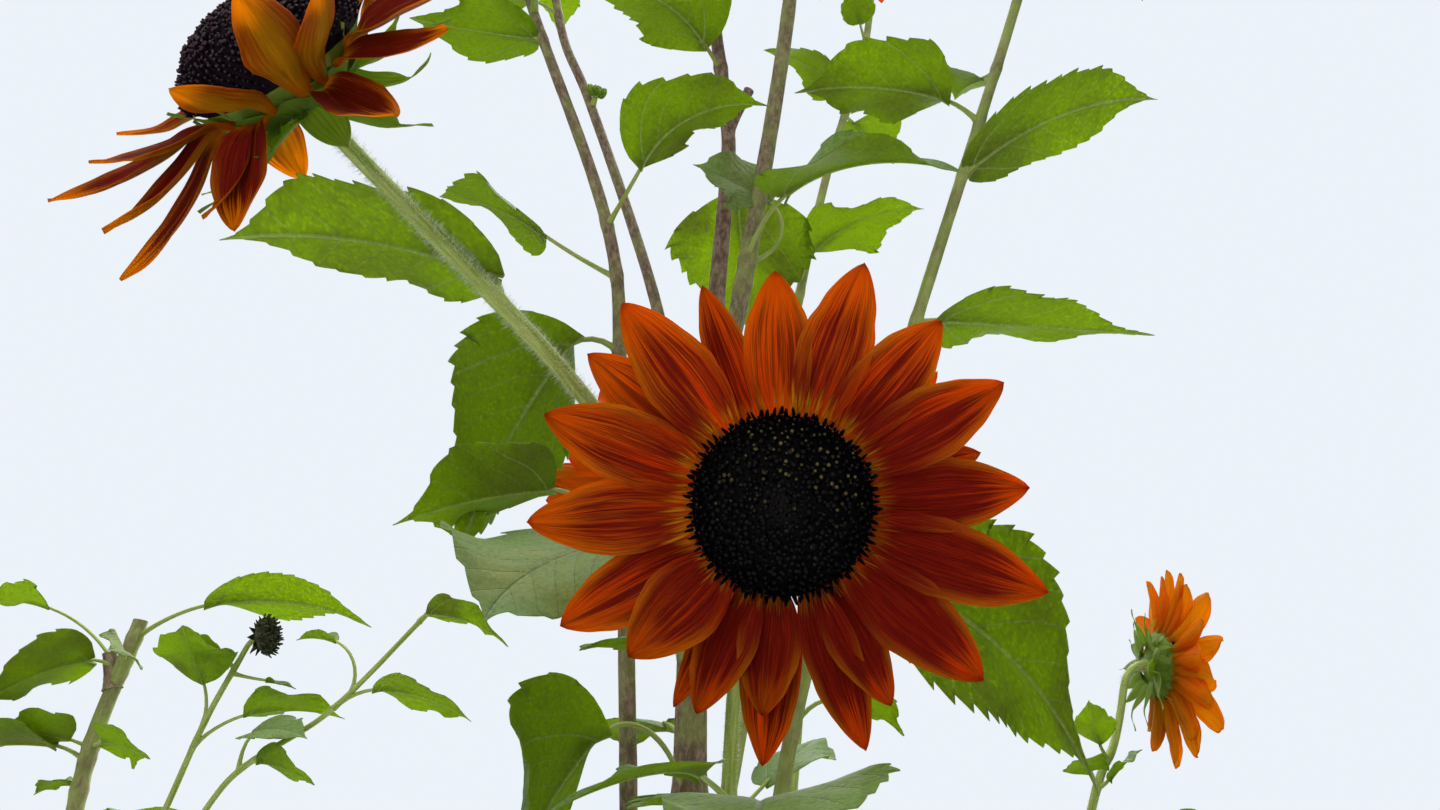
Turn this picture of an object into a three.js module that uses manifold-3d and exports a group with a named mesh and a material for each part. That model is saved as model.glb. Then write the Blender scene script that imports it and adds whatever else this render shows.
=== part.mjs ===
// A branching ornamental sunflower, rooted: one stem that forks into a dozen limbs,
// heart-shaped leaves on long stalks, and rust-red blooms with a near-black disc.
// Millimetres, +Z up. The flat cut under the stem is at ground level, at the origin.
// The side the plant is looked at from is -Y.

import * as THREE from "three";
import { mergeVertices } from "three/addons/utils/BufferGeometryUtils.js";
import Module from "manifold-3d";

const wasm = await Module();
wasm.setup();

// Clear space between one piece and the next.
const CLEAR = 0.3;
// Each leaf stands this many degrees round the stem from the one below it.
const LEAF_TURN = 137.5;
// A ruled leaf that would meet another piece is tried again at these turns.
const TRIES = [0, 45, -45, 90, -90, 140];

const TRUNK = {
  way: [[0, 0, 0], [-6, 5, 400], [-5, 5, 850], [-3, 1, 1231], [-2, 0, 1330], [3, -1, 1427], [7, -3, 1470]],
  rootRadius: 14,
  tipRadius: 4.6,
  taperPower: 2.2,
  flare: 10,
  flareHeight: 34,
  sides: 12,
};

// Half the thickness of a leaf along its midrib, and of a petal.
const LEAF_HALF = 0.75;
const PETAL_HALF = 0.5;
// How far a blade's two halves rise from the midrib, in degrees.
const LEAF_FOLD = 7;
const DISC_RADIUS = 29;
const DISC_SIDES = 12;
const BRACTS = 5;
// Edges shorter than this, left by a cut, are merged away.
const SLIVER = 0.02;
// The radius of a bud's stalk.
const STALK_RADIUS = 1.8;

// Every limb runs through its way points and tapers evenly. It is bare wood up to the
// share `enters` of its length, and from there the stem of a leafy mass.
// Leaves: share of the limb, heading, rise of the stalk, stalk length, pitch of the blade,
// blade length, droop along the blade, swing along the blade, width, roll.
const LIMBS = {
  top: {
    way: [[7, -3, 1470], [14, -9, 1560], [14, -11, 1600], [5, -12, 1689], [-4, -8, 1800], [6, -2, 1900]],
    radius: [4.5, 2.8],
    enters: 0,
    leaves: [
      [0.38, -125, 27, 22, 20, 81, 28, -59, 62, 0],
      [0.2, 83, 106, 101, -52, 83, 20, -12, 86, 0],
    ],
    ruled: { from: 0.66, to: 0.94, count: 4, turn: 20, stalk: 30, blade: [74, 46] },
    stubs: [[0.28, -10, 66, 30, 3]],
  },
  front: {
    way: [[-4, 3, 1000], [6, -36, 1090], [13, -62, 1227], [16, -75, 1273], [21, -100, 1297], [28, -148, 1309]],
    radius: [3.4, 2.6],
    rings: 7,
    enters: 0.5,
    leaves: [
      [0.84, -151, 65, 67, -23, 70, 23, 54, 80, -16],
      [0.81, -172, 5, 28, -4, 42, 16, 71, 34, 0],
      [0.65, -105, 11, 43, 4, 70, 34, -58, 30, 8],
      [0.61, -85, 6, 92, 3, 100, 40, -26, 66, 0],
    ],
  },
  left: {
    way: [
      [-5, 5, 880], [-20, -14, 1010], [-27, -28, 1229], [-36, -44, 1400],
      [-45, -52, 1495], [-93, -62, 1637], [-122, -62, 1750], [-128, -58, 1850],
    ],
    radius: [4.7, 2.1],
    enters: 0.34,
    leaves: [
      [0.6, 172, 33, 52, 41, 76, 20, -26, 50, 12],
      [0.63, -57, 22, 41, 24, 68, 27, 70, 40, 6],
      [0.75, -178, 40, 8, 6, 63, 20, 30, 46, 0],
      [0.56, -160, 49, 30, -61, 112, 16, 14, 82, 44],
      [0.46, -133, 67, 56, -18, 66, 10, -32, 46, 16],
    ],
    ruled: { from: 0.82, to: 0.96, count: 4, turn: 200, stalk: 26, blade: [66, 42] },
    buds: [[0.77, -80, 20, 26, 9]],
  },
  left_thin: {
    way: [[-3, 1, 1290], [-6, 40, 1387], [-29, 60, 1521], [-78, 75, 1684], [-102, 80, 1752], [-120, 86, 1850]],
    radius: [3.8, 3],
    enters: 0.3,
    leaves: [],
    ruled: { from: 0.86, to: 0.97, count: 4, turn: 185, stalk: 26, blade: [64, 40] },
    buds: [[1, 150, 60, 18, 8], [0.7, -60, 50, 12, 6]],
  },
  centre_right: {
    way: [[-2, 0, 1330], [6, -30, 1412], [20, -36, 1464], [49, -50, 1650], [58, -54, 1800]],
    radius: [4.9, 3.4],
    enters: 0.24,
    leaves: [
      [0.34, 178, 170, 50, 38, 42, 32, 30, 46, -64],
      [0.31, -55, 85, 57, -1, 90, 20, 58, 62, 48],
    ],
    ruled: { from: 0.84, to: 0.96, count: 4, turn: 300, stalk: 28, blade: [78, 44] },
  },
  right: {
    way: [
      [-4, 4, 1000], [18, -16, 1120], [43, -36, 1272],
      [102, -60, 1442], [166, -75, 1623], [220, -85, 1790],
    ],
    radius: [3.6, 2.3],
    enters: 0.29,
    leaves: [
      [0.69, -166, 52, 25, 7, 73, 18, -18, 50, 0],
      [0.65, -13, 45, 11, 37, 112, 24, 34, 50, -8],
      [0.73, 108, 20, 14, 34, 40, 16, -19, 26, 0],
      [0.55, 27, 27, 20, 12, 111, 20, -32, 52, -6],
      [0.41, -36, -25, 33, -30, 120, 34, -39, 77, -77],
      [0.32, 28, 64, 36, -10, 30, 32, -8, 26, 0],
    ],
    ruled: { from: 0.8, to: 0.96, count: 4, turn: 250, stalk: 26, blade: [70, 42] },
  },
  upper_left: {
    way: [[-3, 1, 1290], [-10, -30, 1322], [-20, -85, 1342], [-40, -160, 1357], [-106, -227, 1408]],
    radius: [3.3, 2.6],
    enters: 0.55,
    leaves: [[0.767, 179, 99, 15, 22, 103, 18, -17, 50, 7]],
  },
  back: {
    way: [[-4, 2, 1150], [25, 70, 1300], [55, 110, 1514], [86, 120, 1661], [122, 130, 1791], [144, 160, 1950]],
    radius: [3.6, 2.5],
    enters: 0.37,
    leaves: [
      [0.721, -169, 95, 21, 47, 67, 24, -25, 46, 0],
      [0.711, 47, 9, 13, -3, 48, 21, -6, 52, 0],
      [0.516, -54, 93, 38, 12, 76, 21, 44, 54, 0],
      [0.809, -119, 29, 16, 67, 29, 18, -15, 26, 0],
    ],
    ruled: { from: 0.9, to: 0.97, count: 3, turn: 200, stalk: 30, blade: [76, 56] },
  },
  lower_right: {
    way: [[-5, 5, 760], [90, 70, 900], [203, 130, 1210], [236, 140, 1278], [246, 140, 1308]],
    radius: [4.4, 2.1],
    enters: 0.55,
    leaves: [
      [0.93, -129, 20, 14, 56, 26, 8, 25, 22, 0],
      [0.9, -124, 71, 13, 24, 18, 23, -4, 24, 0],
      [0.9, -39, 14, 10, 46, 24, 18, 13, 26, 0],
    ],
    ruled: { from: 0.6, to: 0.84, count: 4, turn: 330, stalk: 40, blade: [96, 70] },
  },
  far_left: {
    way: [[-6, 5, 640], [-150, 60, 800], [-310, 120, 1040], [-355, 150, 1241], [-343, 150, 1349]],
    radius: [6.6, 4.3],
    enters: 0.8,
    leaves: [
      [0.985, -1, 44, 54, 7, 105, 34, -15, 40, -13],
      [0.96, -142, 56, 21, -16, 56, 35, 7, 52, 34],
      [0.91, -121, 16, 16, 11, 35, 26, -61, 34, 18],
      [0.91, -38, 18, 17, -4, 40, 23, 37, 34, -30],
      [0.96, -167, 60, 64, 17, 32, 30, 8, 34, 0],
      [0.97, -63, 10, 17, 5, 26, 25, -35, 30, -46],
      [0.88, -178, 80, 9, 0, 20, 35, -2, 28, 0],
    ],
    ruled: { from: 0.84, to: 0.9, count: 2, turn: 80, stalk: 40, blade: [76, 60] },
    stubs: [[0.95, 200, 74, 22, 4]],
  },
  seed: {
    host: "far_left",
    way: [[-303, 117, 1026], [-312, 136, 1190], [-304, 150, 1241], [-289, 145, 1289], [-271, 140, 1330]],
    radius: [2.3, 1.6],
    rings: 6,
    enters: 0.45,
    leaves: [
      [0.85, -112, 96, 27, 51, 42, 32, 38, 46, 0],
      [0.81, 6, 52, 35, 14, 54, 31, 8, 36, -12],
      [0.96, -144, 32, 12, 42, 19, 20, -3, 12, 0],
      [0.95, -1, -16, 23, -6, 18, 17, 1, 12, 0],
    ],
  },
  far_thin: {
    host: "far_left",
    way: [[-270, 104, 969], [-280, 128, 1180], [-266, 130, 1250], [-208, 120, 1291], [-156, 110, 1345]],
    radius: [2.2, 1.4],
    rings: 6,
    enters: 0.5,
    leaves: [
      [0.86, 173, 105, 36, 20, 25, 32, -10, 14, 0],
      [0.69, -41, 110, 26, 9, 41, 33, 32, 34, 30],
      [0.71, -19, -5, 8, -8, 38, 23, 6, 26, -32],
      [0.83, -10, 41, 30, -3, 59, 31, -1, 28, -20],
      [0.98, -17, 60, 10, -6, 56, 35, -2, 26, -24],
    ],
  },
  back_left: {
    way: [[-5, 5, 820], [-10, 66, 980], [-7, 130, 1250], [-12, 155, 1320], [-35, 190, 1430]],
    radius: [5.4, 3],
    enters: 0.2,
    leaves: [],
    ruled: { from: 0.26, to: 0.62, count: 6, turn: 150, stalk: 56, blade: [136, 104] },
  },
  back_right: {
    way: [[-5, 5, 900], [20, 66, 1040], [49, 130, 1250], [62, 155, 1330], [100, 200, 1480]],
    radius: [5.2, 3],
    enters: 0.2,
    leaves: [],
    ruled: { from: 0.25, to: 0.52, count: 5, turn: 40, stalk: 54, blade: [130, 100] },
  },
};

// Large leaves straight on the stem: share of the stem, then as for a limb's leaves.
const TRUNK_LEAVES = [
  [0.822, -120, 100, 110, -40, 84, 20, 4, 84, 72],
  [0.84, 119, 95, 50, 10, 50, 40, -2, 50, 0],
  [0.825, 37, 33, 56, 40, 50, 26, 31, 44, 0],
];
const TRUNK_RULED = { from: 0.24, to: 0.76, count: 11, turn: -60, stalk: 105, blade: [205, 150] };

// Blooms: facing heading and climb, neck length, disc radius, and either measured rays or
// a count of rays, their mean reach and how far they lift.
const BLOOMS = {
  front: { limb: "front", facing: [-94, -20], neck: 30, disc: DISC_RADIUS, rays: "front" },
  upper_left: { limb: "upper_left", facing: [-116, 21], neck: 18, disc: 30, rays: "side", dome: 1.9 },
  lower_right: { limb: "lower_right", facing: [2, -4], neck: 24, disc: 22, count: 13, reach: 57, lift: 18 },
  top: { limb: "top", facing: [150, 48], neck: 30, disc: 26, count: 12, reach: 72, lift: 4 },
  left: { limb: "left", facing: [200, 30], neck: 30, disc: 24, count: 12, reach: 70, lift: 10 },
  right: { limb: "right", facing: [-20, 22], neck: 30, disc: 25, count: 12, reach: 72, lift: 0 },
  back: { limb: "back", facing: [80, 45], neck: 30, disc: 25, count: 12, reach: 70, lift: 6 },
  back_left: { limb: "back_left", facing: [130, 20], neck: 32, disc: 27, count: 12, reach: 75, lift: 2 },
  back_right: { limb: "back_right", facing: [55, 12], neck: 32, disc: 27, count: 12, reach: 74, lift: -4 },
  centre_right: { limb: "centre_right", facing: [-50, 55], neck: 28, disc: 20, count: 11, reach: 50, lift: 34 },
};

const SEED_HEAD = { limb: "seed", facing: [-10, 8], neck: 11, disc: 12 };

// Rays measured round a disc: degrees clockwise from the top, reach, width, lift, curl.
const RAYS = {
  front: [
    [0, 71, 21, 4, 6], [20.5, 77, 22, 5, 8], [28, 63, 14, -9, 0], [42.4, 73, 22, 3, 6],
    [54, 58, 14, -9, 0], [62.6, 75, 22, 6, 8], [76.4, 63, 15, -9, 0], [87.4, 73, 22, 2, 4],
    [102.5, 63, 15, -9, 0], [109.6, 81, 23, 5, 8], [132.3, 77, 23, 4, 6], [153, 66, 17, 8, -14],
    [162.8, 75, 17, 3, 8], [185.9, 80, 19, -9, 4], [187, 62, 19, 4, 4], [204, 66, 18, 9, 0],
    [210, 70, 11, -6, 4], [227, 64, 24, 15, 10], [242.8, 76, 22, 2, 6], [267.4, 77, 23, 4, 6],
    [277.6, 72, 14, -9, 0], [292.3, 77, 23, 6, 8], [309.2, 76, 20, -2, 2], [323, 78, 23, 6, 8],
    [341.5, 72, 14, -3, 2],
  ],
  side: [
    [138, 78, 17, 36, -29], [124, 75, 14, 27, -11], [127, 69, 15, -11, -29], [92, 68, 18, 4, -6],
    [162, 69, 11, 28, -36], [263, 64, 13, 4, -44], [219, 74, 13, 8, -45], [201, 64, 10, 18, -45],
    [205, 71, 14, -5, -44], [215, 78, 12, -19, -45], [174, 65, 17, -21, 0], [178, 65, 9, -11, -44],
    [106, 71, 12, -3, -32],  [298, 70, 18, -62, 6], [318, 70, 17, 12, 6],
    [340, 72, 18, 8, 6], [2, 70, 17, 12, 4], [31, 72, 18, 6, 8],
    [62, 73, 17, 6, 6],
  ],
};

// Colour, roughness for each kind of piece.
const FINISHES = {
  wood: [0x7d6a55, 0.75],
  leaf: [0x5f9a2c, 0.6],
  bloom: [0xb5410f, 0.6],
  seed: [0x4a4a2e, 0.8],
};

// Numbers, angles and vectors.

function vec(values) {
  return new THREE.Vector3(values[0], values[1], values[2]);
}

function mix(from, to, share) {
  return from + (to - from) * share;
}

// A fixed scatter in 0..1 for a whole number.
function scatter(seed) {
  const wave = Math.sin(seed * 12.9898 + 4.1414) * 43758.5453;
  return wave - Math.floor(wave);
}

// The unit direction of a heading from +X towards +Y and a climb above level.
function direction(heading, climb) {
  const turn = THREE.MathUtils.degToRad(heading);
  const rise = THREE.MathUtils.degToRad(climb);
  return new THREE.Vector3(Math.cos(rise) * Math.cos(turn), Math.cos(rise) * Math.sin(turn), Math.sin(rise));
}

// A path through way points, read by share of its length.
class Path {
  constructor(way, stepsPerSpan = 16) {
    const points = way.map(vec);
    const first = points[0].clone().multiplyScalar(2).sub(points[1]);
    const last = points[points.length - 1].clone().multiplyScalar(2).sub(points[points.length - 2]);
    const held = [first, ...points, last];
    this.points = [];
    for (let span = 1; span < held.length - 2; span += 1) {
      for (let step = 0; step < stepsPerSpan; step += 1) {
        this.points.push(Path.between(held, span, step / stepsPerSpan));
      }
    }
    this.points.push(points[points.length - 1]);
    this.reach = [0];
    for (let i = 1; i < this.points.length; i += 1) {
      this.reach.push(this.reach[i - 1] + this.points[i].distanceTo(this.points[i - 1]));
    }
    this.length = this.reach[this.reach.length - 1];
  }

  // The smooth curve between way point `span` and the next, leaving both evenly.
  static between(held, span, t) {
    const [a, b, c, d] = [held[span - 1], held[span], held[span + 1], held[span + 2]];
    const weights = [
      0.5 * (-t + 2 * t * t - t * t * t),
      0.5 * (2 - 5 * t * t + 3 * t * t * t),
      0.5 * (t + 4 * t * t - 3 * t * t * t),
      0.5 * (-t * t + t * t * t),
    ];
    const point = new THREE.Vector3();
    [a, b, c, d].forEach((near, i) => point.addScaledVector(near, weights[i]));
    return point;
  }

  at(share) {
    const wanted = THREE.MathUtils.clamp(share, 0, 1) * this.length;
    let i = 1;
    while (i < this.reach.length - 1 && this.reach[i] < wanted) {
      i += 1;
    }
    const part = (wanted - this.reach[i - 1]) / (this.reach[i] - this.reach[i - 1]);
    return this.points[i - 1].clone().lerp(this.points[i], part);
  }

  tangent(share) {
    const step = 4 / this.length;
    const ahead = this.at(Math.min(share + step, 1));
    return ahead.sub(this.at(Math.max(share - step, 0))).normalize();
  }
}

// The points of an arc whose climb and heading change evenly along it.
function arc(start, headings, climbs, length, shares) {
  const steps = 24;
  const points = [start.clone()];
  for (let step = 0; step < steps; step += 1) {
    const t = (step + 0.5) / steps;
    const way = direction(mix(headings[0], headings[1], t), mix(climbs[0], climbs[1], t));
    points.push(points[step].clone().addScaledVector(way, length / steps));
  }
  return shares.map((share) => {
    const place = share * steps;
    const below = Math.min(Math.floor(place), steps - 1);
    return points[below].clone().lerp(points[below + 1], place - below);
  });
}

// Closed skins.

// A closed surface over rings of equal count; a ring of one point is a pole.
function skin(rings) {
  const positions = [];
  const starts = [];
  rings.forEach((ring) => {
    starts.push(positions.length / 3);
    ring.forEach((point) => positions.push(point.x, point.y, point.z));
  });
  const faces = [];
  for (let r = 0; r < rings.length - 1; r += 1) {
    const count = Math.max(rings[r].length, rings[r + 1].length);
    for (let i = 0; i < count; i += 1) {
      const next = (i + 1) % count;
      const low = (k) => starts[r] + (rings[r].length === 1 ? 0 : k);
      const high = (k) => starts[r + 1] + (rings[r + 1].length === 1 ? 0 : k);
      if (rings[r].length > 1) {
        faces.push(low(i), low(next), high(next));
      }
      if (rings[r + 1].length > 1) {
        faces.push(low(i), high(next), high(i));
      }
    }
  }
  closeEnd(faces, starts[0], rings[0].length, true);
  closeEnd(faces, starts[rings.length - 1], rings[rings.length - 1].length, false);
  const geometry = new THREE.BufferGeometry();
  geometry.setAttribute("position", new THREE.Float32BufferAttribute(positions, 3));
  geometry.setIndex(faces);
  return geometry;
}

// A flat fan over the first or last ring of a skin.
function closeEnd(faces, start, count, first) {
  for (let i = 1; i < count - 1; i += 1) {
    if (first) {
      faces.push(start, start + i + 1, start + i);
    } else {
      faces.push(start, start + i, start + i + 1);
    }
  }
}

function solid(geometry) {
  const bare = geometry.clone();
  bare.deleteAttribute("normal");
  bare.deleteAttribute("uv");
  const merged = mergeVertices(bare, 1e-5);
  return new wasm.Manifold(new wasm.Mesh({
    numProp: 3,
    vertProperties: new Float32Array(merged.attributes.position.array),
    triVerts: new Uint32Array(merged.index.array),
  }));
}

function geometryOf(manifold) {
  const mesh = manifold.simplify(SLIVER).getMesh();
  const geometry = new THREE.BufferGeometry();
  geometry.setAttribute("position", new THREE.Float32BufferAttribute(mesh.vertProperties, 3));
  geometry.setIndex(Array.from(mesh.triVerts));
  geometry.computeVertexNormals();
  return geometry;
}

function fuse(pieces) {
  return pieces.reduce((whole, piece) => whole.add(piece));
}

// A round limb along a path between two shares of it.
function limbSkin(path, from, to, radiusAt, sides, ringCount) {
  const rings = [];
  let side = new THREE.Vector3(1, 0, 0);
  for (let r = 0; r < ringCount; r += 1) {
    const share = mix(from, to, r / (ringCount - 1));
    const along = path.tangent(share);
    side = side.clone().addScaledVector(along, -side.dot(along)).normalize();
    const other = along.clone().cross(side);
    const centre = path.at(share);
    const ring = [];
    for (let i = 0; i < sides; i += 1) {
      const angle = (i / sides) * 2 * Math.PI;
      const radius = radiusAt(share);
      ring.push(centre.clone()
        .addScaledVector(side, Math.cos(angle) * radius)
        .addScaledVector(other, Math.sin(angle) * radius));
    }
    rings.push(ring);
  }
  return skin(rings);
}

// A thin blade over points along its middle. The four corners of each ring are its two
// edges and the two faces of its midrib.
function bladeRings(middle, sides, ups, halfWidths, halfThickness, fold) {
  const rise = THREE.MathUtils.degToRad(fold);
  return middle.map((point, i) => {
    const width = halfWidths[i];
    const thick = halfThickness[i];
    if (width === 0) {
      return [point.clone()];
    }
    const out = width * Math.cos(rise);
    const lift = width * Math.sin(rise);
    return [
      point.clone().addScaledVector(sides[i], out).addScaledVector(ups[i], lift),
      point.clone().addScaledVector(ups[i], thick),
      point.clone().addScaledVector(sides[i], -out).addScaledVector(ups[i], lift),
      point.clone().addScaledVector(ups[i], -thick),
    ];
  });
}

// Leaves.

class Leaf {
  constructor(path, row) {
    [this.share, this.turn, this.rise, this.stalk, this.pitch, this.blade, this.droop, this.swing,
      this.width, this.roll] = row;
    this.root = path.at(this.share);
  }

  // The half width of the blade at a share of its length: broad near the stalk, a long tip.
  halfWidth(share) {
    return 0.5 * this.width * Math.sin(Math.PI * Math.pow(share, 0.6));
  }

  geometry(grow = 0) {
    const stalkShares = [0, 0.5];
    const bladeShares = [0, 0.16, 0.4, 0.7, 1];
    const rises = [this.rise, this.pitch];
    const stalk = arc(this.root, [this.turn, this.turn], rises, this.stalk, [...stalkShares, 1]);
    const neck = stalk[stalk.length - 1];
    const headings = [this.turn, this.turn + this.swing];
    const climbs = [this.pitch, this.pitch - this.droop];
    const blade = arc(neck, headings, climbs, this.blade, bladeShares);
    const radius = 1.1 + this.blade / 150 + grow;
    const middle = [...stalk.slice(0, 2), ...blade];
    const widths = [radius, radius * 0.85, radius * 0.9];
    const thick = [radius, radius * 0.85, radius * 0.9];
    bladeShares.slice(1).forEach((share) => {
      widths.push(share === 1 ? 0 : this.halfWidth(share) + grow);
      thick.push(LEAF_HALF + grow);
    });
    const sides = [];
    const ups = [];
    middle.forEach((point, i) => {
      const share = i < 2 ? 0 : bladeShares[i - 2];
      const climb = i < 2 ? mix(this.rise, this.pitch, stalkShares[i]) : mix(climbs[0], climbs[1], share);
      const heading = i < 2 ? this.turn : mix(headings[0], headings[1], share);
      const along = direction(heading, climb);
      const level = direction(heading + 90, 0);
      const up = along.clone().cross(level);
      const lean = THREE.MathUtils.degToRad(i < 2 ? 0 : this.roll);
      sides.push(level.clone().multiplyScalar(Math.cos(lean)).addScaledVector(up, Math.sin(lean)));
      ups.push(up.clone().multiplyScalar(Math.cos(lean)).addScaledVector(level, -Math.sin(lean)));
    });
    return skin(bladeRings(middle, sides, ups, widths, thick, LEAF_FOLD));
  }

  solid(grow = 0) {
    return solid(this.geometry(grow));
  }
}

// The rows of leaves that a rule sets along a limb, the blades shorter towards its tip.
function ruledRows(rule, seed) {
  const rows = [];
  for (let i = 0; i < rule.count; i += 1) {
    const part = rule.count === 1 ? 0 : i / (rule.count - 1);
    const chance = (k) => scatter(seed * 97 + i * 7 + k);
    const blade = mix(rule.blade[0], rule.blade[1], part) * (0.88 + 0.24 * chance(1));
    rows.push([
      mix(rule.from, rule.to, part),
      rule.turn + LEAF_TURN * i + 24 * (chance(2) - 0.5),
      34 + 26 * chance(3),
      rule.stalk * (0.8 + 0.4 * chance(4)) * mix(1, 0.7, part),
      14 - 22 * chance(5),
      blade,
      22 + 22 * chance(6),
      30 * (chance(7) - 0.5),
      blade * (0.66 + 0.12 * chance(8)),
      20 * (chance(9) - 0.5),
    ]);
  }
  return rows;
}

// Blooms.

// One ray or bract of a bloom: a thin blade rooted inside the disc that runs outwards.
function rayGeometry(frame, ray, shares, halfThickness, fold) {
  const { centre, face, up, right } = frame;
  const angle = THREE.MathUtils.degToRad(ray.angle);
  const out = up.clone().multiplyScalar(Math.cos(angle)).addScaledVector(right, Math.sin(angle));
  const across = face.clone().cross(out);
  const length = ray.reach - ray.root;
  const lean = (share) => THREE.MathUtils.degToRad(ray.lift + ray.curl * (0.5 - share));
  const middle = [];
  const ups = [];
  const point = centre.clone().addScaledVector(out, ray.root).addScaledVector(face, ray.depth);
  const steps = 20;
  for (let step = 0; step <= steps; step += 1) {
    const share = step / steps;
    if (shares.some((wanted) => Math.abs(wanted - share) < 1e-6)) {
      middle.push(point.clone());
      const tilt = lean(share);
      ups.push(face.clone().multiplyScalar(Math.cos(tilt)).addScaledVector(out, -Math.sin(tilt)));
    }
    const mid = lean(share + 0.5 / steps);
    point.addScaledVector(out, Math.cos(mid) * length / steps);
    point.addScaledVector(face, Math.sin(mid) * length / steps);
  }
  const sides = middle.map(() => across.clone());
  const widths = shares.map((share) => (share === 1 ? 0 : 0.5 * ray.width * ray.shape(share)));
  return skin(bladeRings(middle, sides, ups, widths, shares.map(() => halfThickness), fold));
}

// A petal is narrow at its root, widest past the middle and pointed.
function petalShape(share) {
  return Math.pow(Math.sin(Math.PI * Math.pow(0.05 + 0.95 * share, 0.85)), 0.8);
}

// A bract is widest low down and runs out into a long tip.
function bractShape(share) {
  return Math.pow(1 - share, 0.8);
}

function bloomFrame(spec, path) {
  const start = path.at(1);
  const from = path.tangent(1);
  const face = direction(spec.facing[0], spec.facing[1]);
  const way = [start.clone()];
  const steps = 8;
  for (let step = 0; step < steps; step += 1) {
    const share = (step + 0.5) / steps;
    const along = from.clone().lerp(face, share).normalize();
    way.push(way[step].clone().addScaledVector(along, spec.neck / steps));
  }
  const back = way[steps];
  const centre = back.clone().addScaledVector(face, spec.disc * 0.3);
  const up = new THREE.Vector3(0, 0, 1).addScaledVector(face, -face.z).normalize();
  const right = up.clone().cross(face);
  return { centre, face, up, right, way };
}

// The domed disc with the green cup behind it, turned round the facing direction.
function discSolid(frame, radius, dome = 1) {
  const profile = [
    [0, -0.42], [0.86, -0.2], [1, 0.06], [0.7, 0.3 * dome], [0, 0.4 * dome],
  ].map(([out, high]) => new THREE.Vector2(out * radius, high * radius));
  const geometry = new THREE.LatheGeometry(profile, DISC_SIDES);
  const third = frame.right.clone().cross(frame.face);
  const turned = new THREE.Matrix4().makeBasis(frame.right, frame.face, third);
  turned.setPosition(frame.centre);
  geometry.applyMatrix4(turned);
  return solid(geometry);
}

// The neck from the limb's tip to the disc's back.
function neckSolid(frame, tipRadius) {
  const points = [...frame.way, frame.centre];
  const curve = new Path(points.map((point) => point.toArray()), 4);
  const radiusAt = (share) => tipRadius * (1 + 1.1 * Math.pow(share, 3));
  return solid(limbSkin(curve, (1.5 * CLEAR) / curve.length, 1, radiusAt, 5, 4));
}

function bloomRays(spec, seed) {
  if (spec.rays) {
    return RAYS[spec.rays].map(([angle, reach, width, lift, curl]) => ({ angle, reach, width, lift, curl }));
  }
  const rays = [];
  for (let i = 0; i < spec.count; i += 1) {
    const chance = (k) => scatter(seed * 131 + i * 11 + k);
    rays.push({
      angle: (i * 360) / spec.count + 9 * (chance(1) - 0.5),
      reach: spec.reach * (0.92 + 0.14 * chance(2)),
      width: spec.reach * (0.25 + 0.07 * chance(3)),
      lift: spec.lift + 16 * (chance(4) - 0.5),
      curl: 18 * (chance(5) - 0.4),
    });
  }
  return rays;
}

function bloomSolid(spec, seed) {
  const limb = LIMBS[spec.limb];
  const frame = bloomFrame(spec, limb.path);
  const pieces = [discSolid(frame, spec.disc, spec.dome), neckSolid(frame, limb.radius[1])];
  const shares = spec.rays ? [0, 0.4, 0.8, 1] : [0, 0.55, 1];
  bloomRays(spec, seed).forEach((ray) => {
    const behind = ray.lift < -5;
    const depth = spec.disc * (behind ? -0.06 : 0.04);
    const petal = { ...ray, root: spec.disc * 0.84, depth, shape: petalShape };
    pieces.push(solid(rayGeometry(frame, petal, shares, PETAL_HALF, behind ? 4 : 9)));
  });
  for (let i = 0; i < BRACTS; i += 1) {
    const bract = {
      angle: ((i + 0.5) * 360) / BRACTS,
      root: spec.disc * 0.55,
      reach: spec.disc * (1.45 + 0.3 * scatter(seed * 17 + i)),
      width: spec.disc * 0.46,
      lift: -24,
      curl: -30,
      depth: -spec.disc * 0.2,
      shape: bractShape,
    };
    pieces.push(solid(rayGeometry(frame, bract, [0, 0.5, 1], PETAL_HALF, 6)));
  }
  return fuse(pieces);
}

// The dry seed head nods on its stem, with a ring of short dark points.
function seedHeadSolid(spec) {
  const limb = LIMBS[spec.limb];
  const frame = bloomFrame(spec, limb.path);
  const pieces = [discSolid(frame, spec.disc), neckSolid(frame, limb.radius[1])];
  const pointCount = 6;
  for (let i = 0; i < pointCount; i += 1) {
    const point = {
      angle: (i * 360) / pointCount,
      root: spec.disc * 0.5,
      reach: spec.disc * (1.5 + 0.5 * scatter(i + 3)),
      width: 7,
      lift: -12,
      curl: -40,
      depth: 0,
      shape: bractShape,
    };
    pieces.push(solid(rayGeometry(frame, point, [0, 0.5, 1], PETAL_HALF, 6)));
  }
  return fuse(pieces);
}

// Stem, limbs and masses.

function trunkRadius(share) {
  const taper = mix(TRUNK.rootRadius, TRUNK.tipRadius, Math.pow(share, TRUNK.taperPower));
  return taper + TRUNK.flare * Math.exp((-share * TRUNK.path.length) / TRUNK.flareHeight);
}

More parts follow.
